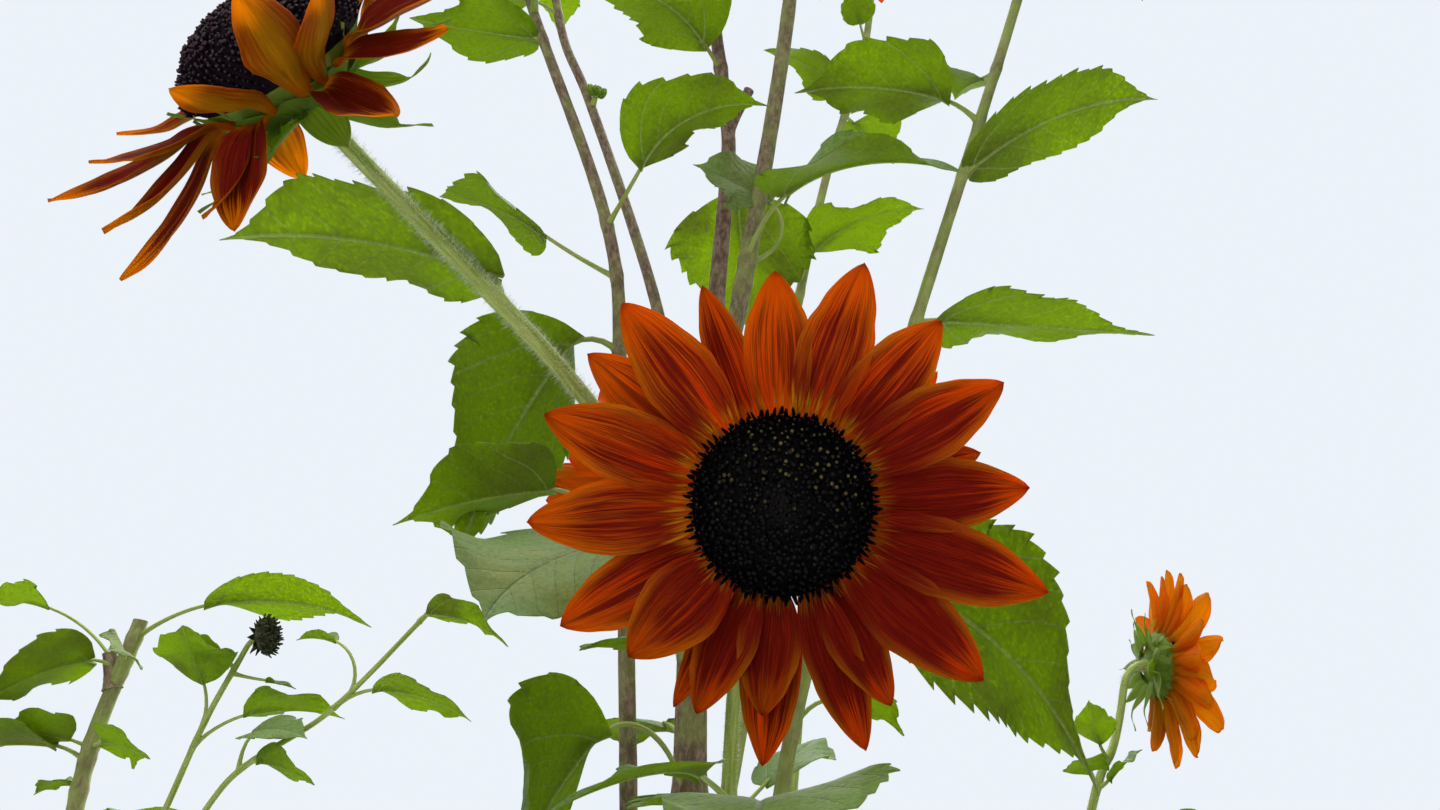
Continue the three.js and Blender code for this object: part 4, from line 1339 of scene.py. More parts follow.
# Places and lengths are in millimetres, turns and slopes in degrees. A row of leaves holds
# the fields of Leaf in order; one of buds or stubs holds share, heading, climb, length and
# radius.
LIMBS: dict[str, Limb] = {
    "top": Limb(
        way=((7, -3, 1470), (14, -9, 1560), (14, -11, 1600), (5, -12, 1689), (-4, -8, 1800),
             (6, -2, 1900)),
        radius=(4.5, 2.8),
        leaves=((0.38, -125, 27, 22, 20, 81, 28, -59, 62, 0),
                (0.2, 83, 106, 101, -52, 83, 20, -12, 86, 0)),
        ruled=Rule(0.66, 0.94, 4, 20, 30, (74, 46)),
        stubs=((0.28, -10, 66, 30, 3),),
        age=0.85),
    "front": Limb(
        way=((-4, 3, 1000), (6, -36, 1090), (13, -62, 1227), (16, -75, 1273), (21, -100, 1297),
             (28, -148, 1309)),
        radius=(3.4, 2.6),
        leaves=((0.84, -151, 65, 67, -23, 70, 23, 54, 80, -16),
                (0.81, -172, 5, 28, -4, 42, 16, 71, 34, 0),
                (0.65, -105, 11, 43, 4, 70, 34, -58, 30, 8),
                (0.61, -85, 6, 92, 3, 100, 40, -26, 66, 0)),
        age=0.06, hairs=12, hair_length=1.1),
    "left": Limb(
        way=((-5, 5, 880), (-20, -14, 1010), (-27, -28, 1229), (-36, -44, 1400), (-45, -52, 1495),
             (-93, -62, 1637), (-122, -62, 1750), (-128, -58, 1850)),
        radius=(4.7, 2.1),
        leaves=((0.6, 172, 33, 52, 41, 76, 20, -26, 50, 12),
                (0.63, -57, 22, 41, 24, 68, 27, 70, 40, 6),
                (0.75, -178, 40, 8, 6, 63, 20, 30, 46, 0),
                (0.56, -160, 49, 30, -61, 112, 16, 14, 82, 44),
                (0.46, -133, 67, 56, -18, 66, 10, -32, 46, 16)),
        ruled=Rule(0.82, 0.96, 4, 200, 26, (66, 42)),
        buds=((0.77, -80, 20, 26, 9),),
        age=0.66),
    "left_thin": Limb(
        way=((-3, 1, 1290), (-6, 40, 1387), (-29, 60, 1521), (-78, 75, 1684), (-102, 80, 1752),
             (-120, 86, 1850)),
        radius=(3.8, 3),
        ruled=Rule(0.86, 0.97, 4, 185, 26, (64, 40)),
        buds=((1, 150, 60, 18, 8), (0.7, -60, 50, 12, 6)),
        age=0.72),
    "centre_right": Limb(
        way=((-2, 0, 1330), (6, -30, 1412), (20, -36, 1464), (49, -50, 1650), (58, -54, 1800)),
        radius=(4.9, 3.4),
        leaves=((0.34, 178, 170, 50, 38, 42, 32, 30, 46, -64),
                (0.31, -55, 85, 57, -1, 90, 20, 58, 62, 48)),
        ruled=Rule(0.84, 0.96, 4, 300, 28, (78, 44)),
        age=0.62),
    "right": Limb(
        way=((-4, 4, 1000), (18, -16, 1120), (43, -36, 1272), (102, -60, 1442), (166, -75, 1623),
             (220, -85, 1790)),
        radius=(3.6, 2.3),
        leaves=((0.69, -166, 52, 25, 7, 73, 18, -18, 50, 0),
                (0.65, -13, 45, 11, 37, 112, 24, 34, 50, -8),
                (0.73, 108, 20, 14, 34, 40, 16, -19, 26, 0),
                (0.55, 27, 27, 20, 12, 111, 20, -32, 52, -6),
                (0.41, -36, -25, 33, -30, 120, 34, -39, 77, -77),
                (0.32, 28, 64, 36, -10, 30, 32, -8, 26, 0)),
        ruled=Rule(0.8, 0.96, 4, 250, 26, (70, 42)),
        age=0.45, hairs=2),
    "upper_left": Limb(
        way=((-3, 1, 1290), (-10, -30, 1322), (-20, -85, 1342), (-40, -160, 1357),
             (-106, -227, 1408)),
        radius=(3.3, 2.6),
        leaves=((0.767, 179, 99, 15, 22, 103, 18, -17, 50, 7),),
        age=0.0, hairs=24, hair_length=2.2),
    "back": Limb(
        way=((-4, 2, 1150), (25, 70, 1300), (55, 110, 1514), (86, 120, 1661), (122, 130, 1791),
             (144, 160, 1950)),
        radius=(3.6, 2.5),
        leaves=((0.721, -169, 95, 21, 47, 67, 24, -25, 46, 0),
                (0.711, 47, 9, 13, -3, 48, 21, -6, 52, 0),
                (0.516, -54, 93, 38, 12, 76, 21, 44, 54, 0),
                (0.809, -119, 29, 16, 67, 29, 18, -15, 26, 0)),
        ruled=Rule(0.9, 0.97, 3, 200, 30, (76, 56)),
        age=0.42),
    "lower_right": Limb(
        way=((-5, 5, 760), (90, 70, 900), (203, 130, 1210), (236, 140, 1278), (246, 140, 1308)),
        radius=(4.4, 2.1),
        leaves=((0.93, -129, 20, 14, 56, 26, 8, 25, 22, 0),
                (0.9, -124, 71, 13, 24, 18, 23, -4, 24, 0),
                (0.9, -39, 14, 10, 46, 24, 18, 13, 26, 0)),
        ruled=Rule(0.6, 0.84, 4, 330, 40, (96, 70)),
        age=0.0, hairs=10, hair_length=1.0),
    "far_left": Limb(
        way=((-6, 5, 640), (-150, 60, 800), (-310, 120, 1040), (-355, 150, 1241),
             (-343, 150, 1349)),
        radius=(6.6, 4.3),
        leaves=((0.985, -1, 44, 54, 7, 105, 34, -15, 40, -13),
                (0.96, -142, 56, 21, -16, 56, 35, 7, 52, 34),
                (0.91, -121, 16, 16, 11, 35, 26, -61, 34, 18),
                (0.91, -38, 18, 17, -4, 40, 23, 37, 34, -30),
                (0.96, -167, 60, 64, 17, 32, 30, 8, 34, 0),
                (0.97, -63, 10, 17, 5, 26, 25, -35, 30, -46),
                (0.88, -178, 80, 9, 0, 20, 35, -2, 28, 0)),
        ruled=Rule(0.84, 0.9, 2, 80, 40, (76, 60)),
        stubs=((0.95, 200, 74, 22, 4),),
        age=0.5),
    "seed": Limb(
        way=((-303, 117, 1026), (-312, 136, 1190), (-304, 150, 1241), (-289, 145, 1289),
             (-271, 140, 1330)),
        radius=(2.3, 1.6),
        leaves=((0.85, -112, 96, 27, 51, 42, 32, 38, 46, 0),
                (0.81, 6, 52, 35, 14, 54, 31, 8, 36, -12),
                (0.96, -144, 32, 12, 42, 19, 20, -3, 12, 0),
                (0.95, -1, -16, 23, -6, 18, 17, 1, 12, 0)),
        age=0.2),
    "far_thin": Limb(
        way=((-270, 104, 969), (-280, 128, 1180), (-266, 130, 1250), (-208, 120, 1291),
             (-156, 110, 1345)),
        radius=(2.2, 1.4),
        leaves=((0.86, 173, 105, 36, 20, 25, 32, -10, 14, 0),
                (0.69, -41, 110, 26, 9, 41, 33, 32, 34, 30),
                (0.71, -19, -5, 8, -8, 38, 23, 6, 26, -32),
                (0.83, -10, 41, 30, -3, 59, 31, -1, 28, -20),
                (0.98, -17, 60, 10, -6, 56, 35, -2, 26, -24)),
        age=0.15),
    "back_left": Limb(
        way=((-5, 5, 820), (-10, 66, 980), (-7, 130, 1250), (-12, 155, 1320), (-35, 190, 1430)),
        radius=(5.4, 3),
        ruled=Rule(0.26, 0.62, 6, 150, 56, (136, 104)),
        age=0.2),
    "back_right": Limb(
        way=((-5, 5, 900), (20, 66, 1040), (49, 130, 1250), (62, 155, 1330), (100, 200, 1480)),
        radius=(5.2, 3),
        ruled=Rule(0.25, 0.52, 5, 40, 54, (130, 100)),
        age=0.2),
}

TRUNK_LEAVES = ((0.822, -120, 100, 110, -40, 84, 20, 4, 84, 72),
                (0.84, 119, 95, 50, 10, 50, 40, -2, 50, 0),
                (0.825, 37, 33, 56, 40, 50, 26, 31, 44, 0))
TRUNK_RULE = Rule(0.24, 0.76, 11, -60, 105, (205, 150))


# Blooms.

# Parts of the disc's radius: where petals start, where the dome ends, and where the
# outermost floret stands.
PETAL_ROOT = 0.84
DOME_EDGE = 0.93
OUTER_FLORET = 0.96
# How deep a floret's foot is sunk into the dome, in millimetres.
FLORET_SUNK = 0.6
# Rays measured round a disc: degrees clockwise from the top, reach, width, lift, curl.
FRONT_RAYS = (
    (0, 71, 21, 4, 6), (20.5, 77, 22, 5, 8), (28, 63, 14, -9, 0), (42.4, 73, 22, 3, 6),
    (54, 58, 14, -9, 0), (62.6, 75, 22, 6, 8), (76.4, 63, 15, -9, 0), (87.4, 73, 22, 2, 4),
    (102.5, 63, 15, -9, 0), (109.6, 81, 23, 5, 8), (132.3, 77, 23, 4, 6), (153, 66, 17, 8, -14),
    (162.8, 75, 17, 3, 8), (185.9, 80, 19, -9, 4), (187, 62, 19, 4, 4), (204, 66, 18, 9, 0),
    (210, 70, 11, -6, 4), (227, 64, 24, 15, 10), (242.8, 76, 22, 2, 6), (267.4, 77, 23, 4, 6),
    (277.6, 72, 14, -9, 0), (292.3, 77, 23, 6, 8), (309.2, 76, 20, -2, 2), (323, 78, 23, 6, 8),
    (341.5, 72, 14, -3, 2))
SIDE_RAYS = (
    (138, 78, 17, 36, -29), (124, 75, 14, 27, -11), (127, 69, 15, -11, -29), (92, 68, 18, 4, -6),
    (162, 69, 11, 28, -36), (263, 64, 13, 4, -44), (219, 74, 13, 8, -45), (201, 64, 10, 18, -45),
    (205, 71, 14, -5, -44), (215, 78, 12, -19, -45), (174, 65, 17, -21, 0), (178, 65, 9, -11, -44),
    (106, 71, 12, -3, -32), (298, 70, 18, -62, 6), (318, 70, 17, 12, 6),
    (340, 72, 18, 8, 6), (2, 70, 17, 12, 4), (31, 72, 18, 6, 8),
    (62, 73, 17, 6, 6))


@dataclass(frozen=True)
class BloomPlace:
    """Where a bloom's disc sits and which way it faces."""

    way: Array
    centre: Array
    face: Array
    up: Array
    right: Array

    @classmethod
    def facing(cls, way: Array, centre: Array, face: Array) -> "BloomPlace":
        """The place at a centre that faces that way, with its top turned up."""
        up = upright(face)
        return cls(way, centre, face, up, np.cross(up, face))

    def line(self, angle: float, root: float, reach: float, depth: float, lift: float,
             curl: float, shares: Array) -> BladeLine:
        """The middle line of a petal or bract, bending evenly away from the face.

        Args:
            angle: degrees clockwise from the top.
            root: distance from the axis at which it starts.
            reach: root plus its length.
            depth: how far before the disc's rim plane it starts.
            lift: degrees that it leans to the front at its middle.
            curl: degrees that this lessens by from end to end.
            shares: where rows of its blade are wanted.

        Returns:
            The line and the directions across it.
        """
        turn = math.radians(angle)
        out = self.up * math.cos(turn) + self.right * math.sin(turn)
        steps = 60
        middle = (np.arange(steps) + 0.5) / steps
        lean = np.radians(lift + curl * (0.5 - middle))
        ways = np.cos(lean)[:, None] * out + np.sin(lean)[:, None] * self.face
        start = self.centre + out * root + self.face * depth
        points = np.vstack([start, start + np.cumsum(ways, 0) * (reach - root) / steps])
        line = read_line(shares, np.linspace(0, 1, steps + 1), points)
        lean = np.radians(lift + curl * (0.5 - shares))[:, None]
        ups = self.face * np.cos(lean) - out * np.sin(lean)
        across = np.broadcast_to(np.cross(self.face, out), ups.shape)
        return BladeLine(line, across, ups)


@dataclass(frozen=True)
class BractRing:
    """How a ring of bracts stands: parts of the disc's radius, and degrees.

    Each pair of numbers is the range within which the bracts are scattered.
    """

    root: float
    depth: float
    reach: tuple[float, float]
    lift: tuple[float, float]
    curl: tuple[float, float]


HUGGING = BractRing(0.50, -0.46, (1.15, 1.40), (38, 46), (-50, 10))
LEANING = BractRing(0.52, -0.44, (1.35, 1.95), (14, -20), (-84, 6))


@dataclass(frozen=True)
class Bloom:
    """A bloom: a domed disc of florets in a green cup, petals round it, bracts behind."""

    limb: str
    facing: tuple[float, float]
    neck: float
    disc: float
    rays: tuple[tuple[float, ...], ...] = ()
    count: int = 0
    reach: float = 0.0
    lift: float = 0.0
    florets: int = 300
    fine: bool = False
    cup: float = 0.3
    warmth: float = 0.5
    rise: float = 1.0
    belly: float = 0.95
    point: float = 0.72
    tuck: float = 0.05
    bract_count: int = 26

    def place(self, path: Path) -> BloomPlace:
        """The neck bends from the limb's end to the facing direction, and holds the disc.

        Args:
            path: the middle line of its limb.

        Returns:
            The neck's way and where the disc sits at the end of it.
        """
        start, from_way = path.at(1.0), path.tangent(np.array([1.0]))[0]
        face = direction(*self.facing)
        share = ((np.arange(8) + 0.5) / 8)[:, None]
        ways = unit(mix(from_way, face, share)) * self.neck / 8
        way = np.vstack([start, start + np.cumsum(ways, axis=0)])
        return BloomPlace.facing(way, way[-1] + face * self.disc * 0.3, face)

    def ray_table(self, seed: int) -> list[tuple[float, ...]]:
        """The measured rays, or two staggered rings of count with a seeded scatter.

        Args:
            seed: sets the scatter.

        Returns:
            For each ray its angle, reach, width, lift and curl, as in FRONT_RAYS.
        """
        if self.rays:
            return list(self.rays)
        rows = []
        for i in range(self.count):
            chance = [float(scatter(seed * 131 + i * 11 + k)) for k in range(6)]
            rows.append((i * 360 / self.count + 9 * (chance[1] - 0.5),
                         self.reach * (0.92 + 0.14 * chance[2]),
                         self.reach * (0.27 + 0.07 * chance[3]),
                         self.lift + 16 * (chance[4] - 0.5), 18 * (chance[5] - 0.4)))
        behind = [(angle + 180 / self.count, reach * 0.93, width * 0.9, lift - 9, curl)
                  for angle, reach, width, lift, curl in rows]
        return rows + behind

    def petals(self, place: BloomPlace, seed: int) -> list[Patch]:
        """Every petal, warmer in tint at the upper left and where it stands behind.

        Args:
            place: where the disc sits.
            seed: sets the scatter of the rays and tints.

        Returns:
            One closed petal for each ray.
        """
        patches = []
        for i, (angle, reach, width, lift, curl) in enumerate(self.ray_table(seed)):
            behind = lift < -5
            warm = self.warmth + 0.26 * math.cos(math.radians(angle + 30))
            warm += (0.3 if behind else 0) + 0.24 * (float(scatter(seed * 57 + i)) - 0.5)
            depth = self.disc * (-0.14 if behind else -0.06)
            s = np.linspace(0, 1, 40 if self.fine else 22)
            root = self.disc * PETAL_ROOT
            line = place.line(angle, root, reach, depth, lift, curl, s)
            patches.append(self.petal(line, s, reach - root, width, warm, behind, seed * 31 + i))
        return patches

    def petal(self, line: BladeLine, s: Array, length: float, width: float, warm: float,
              behind: bool, seed: float) -> Patch:
        """One petal.

        Half its width follows the sine of pi times (0.035 + 0.965 share)^belly, raised to
        the power of point: narrow at the root, widest near the middle, and rounder at the
        tip the smaller point is. Three lengthwise grooves and a gentle fold run along it,
        its edge waves, it twists a little, and its root lies back by tuck times the
        disc's radius.

        Args:
            line: its middle line.
            s: the shares of its rows.
            length: its length.
            width: its full width.
            warm: its tint.
            behind: whether it lies behind its neighbours, and flatter.
            seed: sets its waves.

        Returns:
            The closed petal.
        """
        t = np.linspace(1, -1, 17 if self.fine else 9)
        shape = np.sin(math.pi * (0.035 + 0.965 * s) ** self.belly)
        half = np.maximum(0.5 * width * np.clip(shape, 0, 1) ** self.point, 0.12)[:, None]
        x = t * half * (1 + 0.03 * wobble(s * 9, seed))[:, None]
        fold = 0.07 if behind else 0.16
        rise = s[:, None]
        cupped = self.cup * half * t**2 * (1.15 - rise)
        groove = sum(np.exp(-((t - centre) / 0.13) ** 2) for centre in (-0.42, 0.05, 0.46))
        edge = np.abs(t) ** 2 * np.sin(7 * rise + TURN * scatter(seed + 1) + t)
        waves = 0.045 * edge + 0.035 * wobble(rise * 5 + t, seed + 4)
        furrow = 0.03 * groove * np.sin(math.pi * rise) ** 0.5
        twist = math.radians(34 * (float(scatter(seed + 9)) - 0.5)) * rise
        tucked = self.tuck * self.disc * np.clip(1 - rise / 0.22, 0, 1) ** 2
        lift = (np.abs(x) * fold + cupped + width * (waves * rise - furrow)
                + x * np.sin(twist) - tucked)
        forward = -0.03 * length * t**2 * (1 - rise)
        tint = float(np.clip(warm, 0, 1))
        return line.strip(t, s, x, lift, PETAL_SHEET, tint, forward)

    def bracts(self, place: BloomPlace, seed: int) -> list[Patch]:
        """Bracts that hug the cup and, between them, ones that lean out.

        Half a bract's width is that of a body that narrows to nothing at 0.62 of its
        length, and a thread that goes on from there to its tip.

        Args:
            place: where the disc sits.
            seed: sets their scatter.

        Returns:
            The closed bracts.
        """
        patches = []
        s, t = np.linspace(0, 1, 21), np.linspace(1, -1, 7)
        rise = s[:, None]
        body = np.clip(1 - (s / 0.62) ** 2, 0, 1) ** 0.9 * (0.8 + 0.6 * s)
        shape = body + 0.022 * (1 - s) + 0.008
        for i in range(self.bract_count):
            chance = [float(scatter(seed * 17 + i * 5 + k)) for k in range(6)]
            ring = HUGGING if i % 2 else LEANING
            angle = i * 360 / self.bract_count + 9 * (chance[1] - 0.5)
            line = place.line(angle, self.disc * ring.root, self.disc * mix(*ring.reach, chance[0]),
                              self.disc * ring.depth, mix(*ring.lift, chance[2]),
                              mix(*ring.curl, chance[3]), s)
            width = self.disc * (0.46 + 0.12 * chance[4])
            x = t * (0.5 * width * shape)[:, None]
            lift = (np.abs(x) * 0.3 + 0.05 * width * np.sin(9 * rise + 6 * chance[5]) * t**2
                    + 0.03 * self.disc * wobble(s * 4, seed + i)[:, None] * rise)
            patches.append(line.strip(t, s, x, lift, PETAL_SHEET, chance[5]))
        return patches

    def calyx(self, place: BloomPlace) -> Patch:
        """The green cup: a shallow bowl that closes just inside the disc's rim."""
        profile = np.array([(0.02, -0.42), (0.3, -0.40), (0.5, -0.33), (0.68, -0.23), (0.82, -0.12),
                            (0.88, -0.04), (0.86, 0.0), (0.5, 0.02), (0.02, 0.02)])
        return lathe(place.centre, place.face, place.right, profile * self.disc, 32)

    @staticmethod
    def neck_radius(tip_radius: float, share: Array) -> Array:
        """The limb's tip radius, growing with the cube of the share towards the cup."""
        return tip_radius * (1 + 1.1 * share**3)

    def neck_patch(self, place: BloomPlace, tip_radius: float, age: float) -> Patch:
        """The neck, from the limb's end into the cup.

        Args:
            place: where the disc sits.
            tip_radius: the limb's radius at its end.
            age: how old it looks, from nought to one.

        Returns:
            The closed neck.
        """
        line = Path(tuple(map(tuple, np.vstack([place.way, place.centre]))), 8)
        share = np.linspace(0, 1, 24)
        return tube(line, share, self.neck_radius(tip_radius, share), age, 12)

    def neck_hairs(self, place: BloomPlace, tip_radius: float, seed: int) -> Patch:
        """Long bristles on the neck, so many to each millimetre of it.

        Args:
            place: where the disc sits.
            tip_radius: the limb's radius at its end.
            seed: sets where they stand.

        Returns:
            The bristles.
        """
        density, length = 16, 2.0
        line = Path(tuple(map(tuple, place.way)), 8)
        return hair_coat(line, lambda share: self.neck_radius(tip_radius, share),
                         int(self.neck * density), length, seed)

    def dome(self, share: Array) -> Array:
        """The dome's height, in radii: it falls with the share's 2nd and 6th powers."""
        return 0.055 + (0.29 - 0.16 * share**2 - 0.13 * share**6) * self.rise

    def disc_patches(self, place: BloomPlace, seed: int) -> list[Patch]:
        """A dark dome with florets in the golden spiral, longer and leaning out at the rim.

        Floret k stands at the k-th multiple of the golden angle, at a distance that
        grows with the square root of k, so that they are evenly packed.

        Args:
            place: where the disc sits.
            seed: sets the florets' scatter.

        Returns:
            The dome and the florets.
        """
        share = np.linspace(1, 0.02, 12)
        dome = np.stack([share * DOME_EDGE, self.dome(share)], -1)
        profile = np.vstack([[0.02, -0.02], [0.9, -0.02], dome]) * self.disc
        patches = [lathe(place.centre, place.face, place.right, profile, 36)]
        draw = np.random.default_rng(seed)
        k = np.arange(self.florets)
        part = np.sqrt((k + 0.5) / self.florets)
        angle = k * GOLDEN_ANGLE
        other = np.cross(place.face, place.right)
        out = place.right * np.cos(angle)[:, None] + other * np.sin(angle)[:, None]
        rim = np.clip((part - 0.72) / 0.28, 0, 1)
        feet = place.centre + out * (part * OUTER_FLORET * self.disc)[:, None]
        feet = feet + place.face * (self.dome(part) * self.disc - FLORET_SUNK)[:, None]
        slope = (0.32 * part + 0.5 * part**5) * self.rise + 0.4 * rim**2
        stray = 0.34 * (1 - 0.6 * rim)[:, None]
        ways = unit(place.face + out * slope[:, None] + stray * draw.normal(0, 1, (len(k), 3)))
        pitch = self.disc * math.sqrt(math.pi / self.florets) * 0.93
        tall = pitch * (1.3 + 0.35 * rim + 0.5 * draw.uniform(-1, 1, len(k)))
        wide = pitch * (0.42 + 0.10 * draw.uniform(-1, 1, len(k)))
        # The tint, and with it the painted glints, is raised towards the upper right of the disc,
        # where the light falls.
        upper = out @ (place.up + 0.35 * place.right)
        tint = np.clip(draw.uniform(0, 0.8, len(k)) + 0.25 * upper * part, 0, 1)
        patches.append(florets(feet, ways, tall, wide, tint, rim))
        return patches


def florets(feet: Array, ways: Array, tall: Array, wide: Array, tint: Array,
            rim: Array) -> Patch:
    """Many small florets: closed six-sided rods, waisted, that are spikes at the rim.

    Args:
        feet: where they stand.
        ways: their unit directions.
        tall: their heights.
        wide: their radii.
        tint: a value for each.
        rim: how near the rim each is, from nought to one.

    Returns:
        Four rings of six points for each floret.
    """
    sides, levels = 6, np.array([0.0, 0.5, 0.86, 1.0])
    side, other = square_to(ways)
    angle = angles_round(sides)
    rod, spike = np.array([0.95, 0.7, 0.9, 0.45]), np.array([1.0, 0.75, 0.45, 0.12])
    radius = mix(rod[None], spike[None], rim[:, None])[:, :, None] * wide[:, None, None]
    ring = (side[:, None, None] * np.cos(angle)[:, None]
            + other[:, None, None] * np.sin(angle)[:, None]) * radius[..., None]
    height = (ways[:, None] * (levels[:, None] * tall[:, None, None]))[:, :, None]
    points = (feet[:, None, None] + height + ring).reshape(-1, 3)
    block = grid_faces(len(levels), sides)
    per = len(levels) * sides
    shift = (np.arange(len(feet)) * per)[:, None, None]
    faces = [(part + shift).reshape(-1, 4) for part in block]
    mark = np.tile(np.repeat(levels, sides), len(feet))
    return Patch(points, faces, np.stack([mark * 0, mark], -1), points, np.zeros(len(points)),
                 np.repeat(tint, per))


# A bloom faces a heading and a climb; its neck, disc and reach are in millimetres.
BLOOMS: dict[str, Bloom] = {
    "front": Bloom("front", (-94, -20), 30, 29, FRONT_RAYS, florets=820, fine=True,
                   cup=0.12, warmth=0.36),
    "upper_left": Bloom("upper_left", (-116, 21), 18, 30, SIDE_RAYS, florets=1300, fine=True,
                        warmth=0.12, rise=1.9, belly=1.0, point=0.66, tuck=0.16),
    "lower_right": Bloom("lower_right", (2, -4), 24, 22, count=13, reach=57, lift=18,
                         cup=0.45, warmth=0.9, belly=1.15, point=0.5),
    "top": Bloom("top", (150, 48), 30, 26, count=12, reach=72, lift=4),
    "left": Bloom("left", (200, 30), 30, 24, count=12, reach=70, lift=10),
    "right": Bloom("right", (-20, 22), 30, 25, count=12, reach=72, lift=0),
    "back": Bloom("back", (80, 45), 30, 25, count=12, reach=70, lift=6),
    "back_left": Bloom("back_left", (130, 20), 32, 27, count=12, reach=75, lift=2),
    "back_right": Bloom("back_right", (55, 12), 32, 27, count=12, reach=74, lift=-4),
    "centre_right": Bloom("centre_right", (-50, 55), 28, 20, count=11, reach=50, lift=34),
}
SEED_HEAD = Bloom("seed", (-10, 8), 11, 12, florets=120)


# The whole plant.


@dataclass
class Plant:
    """The plant, grown limb by limb into groups of like pieces."""

    trunk: Trunk
    limbs: dict[str, Limb]
    blooms: dict[str, Bloom]

    def __post_init__(self) -> None:
        """Lays the paths, and sets each ruled leaf as its solid stands."""
        self.stem_skin = STEM_SKIN.make()
        self.trunk_path = self.trunk.path()
        self.paths = {name: Path(limb.way) for name, limb in self.limbs.items()}
        self.leaves: dict[str, list[Leaf]] = {}
        for i, (name, limb) in enumerate(self.limbs.items()):
            rows = [Leaf(*row) for row in limb.leaves]
            if limb.ruled:
                ruled = limb.ruled.leaves(i + 1)
                placed = [as_placed(leaf, self.paths[name], f"mass_{name}") for leaf in ruled]
                rows += [leaf for leaf in placed if leaf]
            self.leaves[name] = rows
        self.trunk_leaves = {f"leaf_upper_{i + 1}": Leaf(*row)
                             for i, row in enumerate(TRUNK_LEAVES)}
        for i, leaf in enumerate(TRUNK_RULE.leaves(TRUNK_RULE_SEED)):
            placed = as_placed(leaf, self.trunk_path, f"leaf_{i + 1}")
            if placed:
                self.trunk_leaves[f"leaf_{i + 1}"] = placed
        log.info("leaves: %d on limbs, %d on the stem",
                 sum(map(len, self.leaves.values())), len(self.trunk_leaves))

    def stems(self) -> None:
        """The stem and limbs with their relief, in place of the plain ones."""
        knots = [leaf.share for leaf in self.trunk_leaves.values()]
        patches = [self.trunk.patch(knots)]
        for i, (name, limb) in enumerate(self.limbs.items()):
            path = self.paths[name]
            patches.append(limb.patch(path, [leaf.share for leaf in self.leaves[name]], i + 1.0))
            patches += [self.stub(path, stub, limb.age) for stub in limb.stubs]
        for bloom in [*self.blooms.values(), SEED_HEAD]:
            limb = self.limbs[bloom.limb]
            place = bloom.place(self.paths[bloom.limb])
            patches.append(bloom.neck_patch(place, limb.radius[1], limb.age * 0.5))
        nodes = ["main_stem"] + [f"bough_{name}" for name in self.limbs
                                 if f"bough_{name}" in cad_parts]
        make_piece("stem_and_limbs", patches, self.stem_skin, nodes)

    @staticmethod
    def stub(path: Path, spec: tuple[float, ...], age: float) -> Patch:
        """A cut twig, a little swollen at its root.

        Args:
            path: the limb's middle line.
            spec: share of the limb, heading, climb, length and radius.
            age: how old the limb looks.

        Returns:
            The closed twig.
        """
        share, heading, climb, length, radius = spec
        root = path.at(share)
        tip = root + direction(heading, climb) * length
        line = Path((tuple(root), tuple(tip)), 12)
        places = np.linspace(0, 1, 14)
        wide = radius * (1 + 0.5 * np.exp(-places * length / 4) + 0.05 * wobble(places * 9, 3.0))
        return tube(line, places, wide, min(1.0, age + 0.25), 12)

    def stalks(self) -> None:
        """The leaf stalks and the stalks of the buds."""
        patches = []
        for name, limb in self.limbs.items():
            path = self.paths[name]
            patches += [leaf.stalk_patch(path, limb.age * 0.6) for leaf in self.leaves[name]]
            patches += [self.stub(path, (*bud[:4], 1.8), 0.0) for bud in limb.buds]
        patches += [leaf.stalk_patch(self.trunk_path, 0.35) for leaf in self.trunk_leaves.values()]
        make_piece("leaf_stalks", patches, self.stem_skin,
                   [f"mass_{name}" for name in self.limbs])

    def blades(self) -> None:
        """The leaf blades, in two pieces for the limbs and one for the stem."""
        finish = LEAF_SKIN.make()
        names = list(self.limbs)
        for group, some in {"near": names[:7], "far": names[7:]}.items():
            patches = [leaf.blade_patch(self.paths[name], names.index(name) * 41.7 + k * 3.1)
                       for name in some for k, leaf in enumerate(self.leaves[name])]
            make_piece(f"limb_leaves_{group}", patches, finish,
                       [f"mass_{name}" for name in some], 60)
        patches = [leaf.blade_patch(self.trunk_path, TRUNK_BLADE_SEED + k * 3.7)
                   for k, leaf in enumerate(self.trunk_leaves.values())]
        make_piece("stem_leaves", patches, finish, list(self.trunk_leaves), 60)

    def flowers(self) -> None:
        """Petals, discs and bracts, the three near blooms in pieces of their own."""
        red, golden = RED_PETALS.make(), GOLDEN_PETALS.make()
        black, mauve = BLACK_DISC.make(), MAUVE_DISC.make()
        near_ones = ("front", "upper_left", "lower_right")
        groups = {name: [name] for name in near_ones}
        groups["others"] = [name for name in self.blooms if name not in near_ones]
        green = []
        for group, names in groups.items():
            petals, discs = [], []
            for name in names:
                bloom, seed = self.blooms[name], list(self.blooms).index(name) + 1
                place = bloom.place(self.paths[bloom.limb])
                petals += bloom.petals(place, seed)
                discs += bloom.disc_patches(place, seed)
                green += [bloom.calyx(place), *bloom.bracts(place, seed)]
            nodes = [f"bloom_{name}" for name in names]
            # The upper-left and lower-right blooms take the brighter golden copy, whose back is
            # partly painted light.
            petal = golden if group in ("upper_left", "lower_right") else red
            make_piece(f"petals_{group}", petals, petal, nodes, 60)
            disc = black if group == "front" else mauve
            make_piece(f"disc_{group}", discs, disc, nodes, 40)
        green += self.bud_patches()
        make_piece("bracts_and_cups", green, BRACT_SKIN.make(),
                   [f"bloom_{name}" for name in self.blooms], 60)

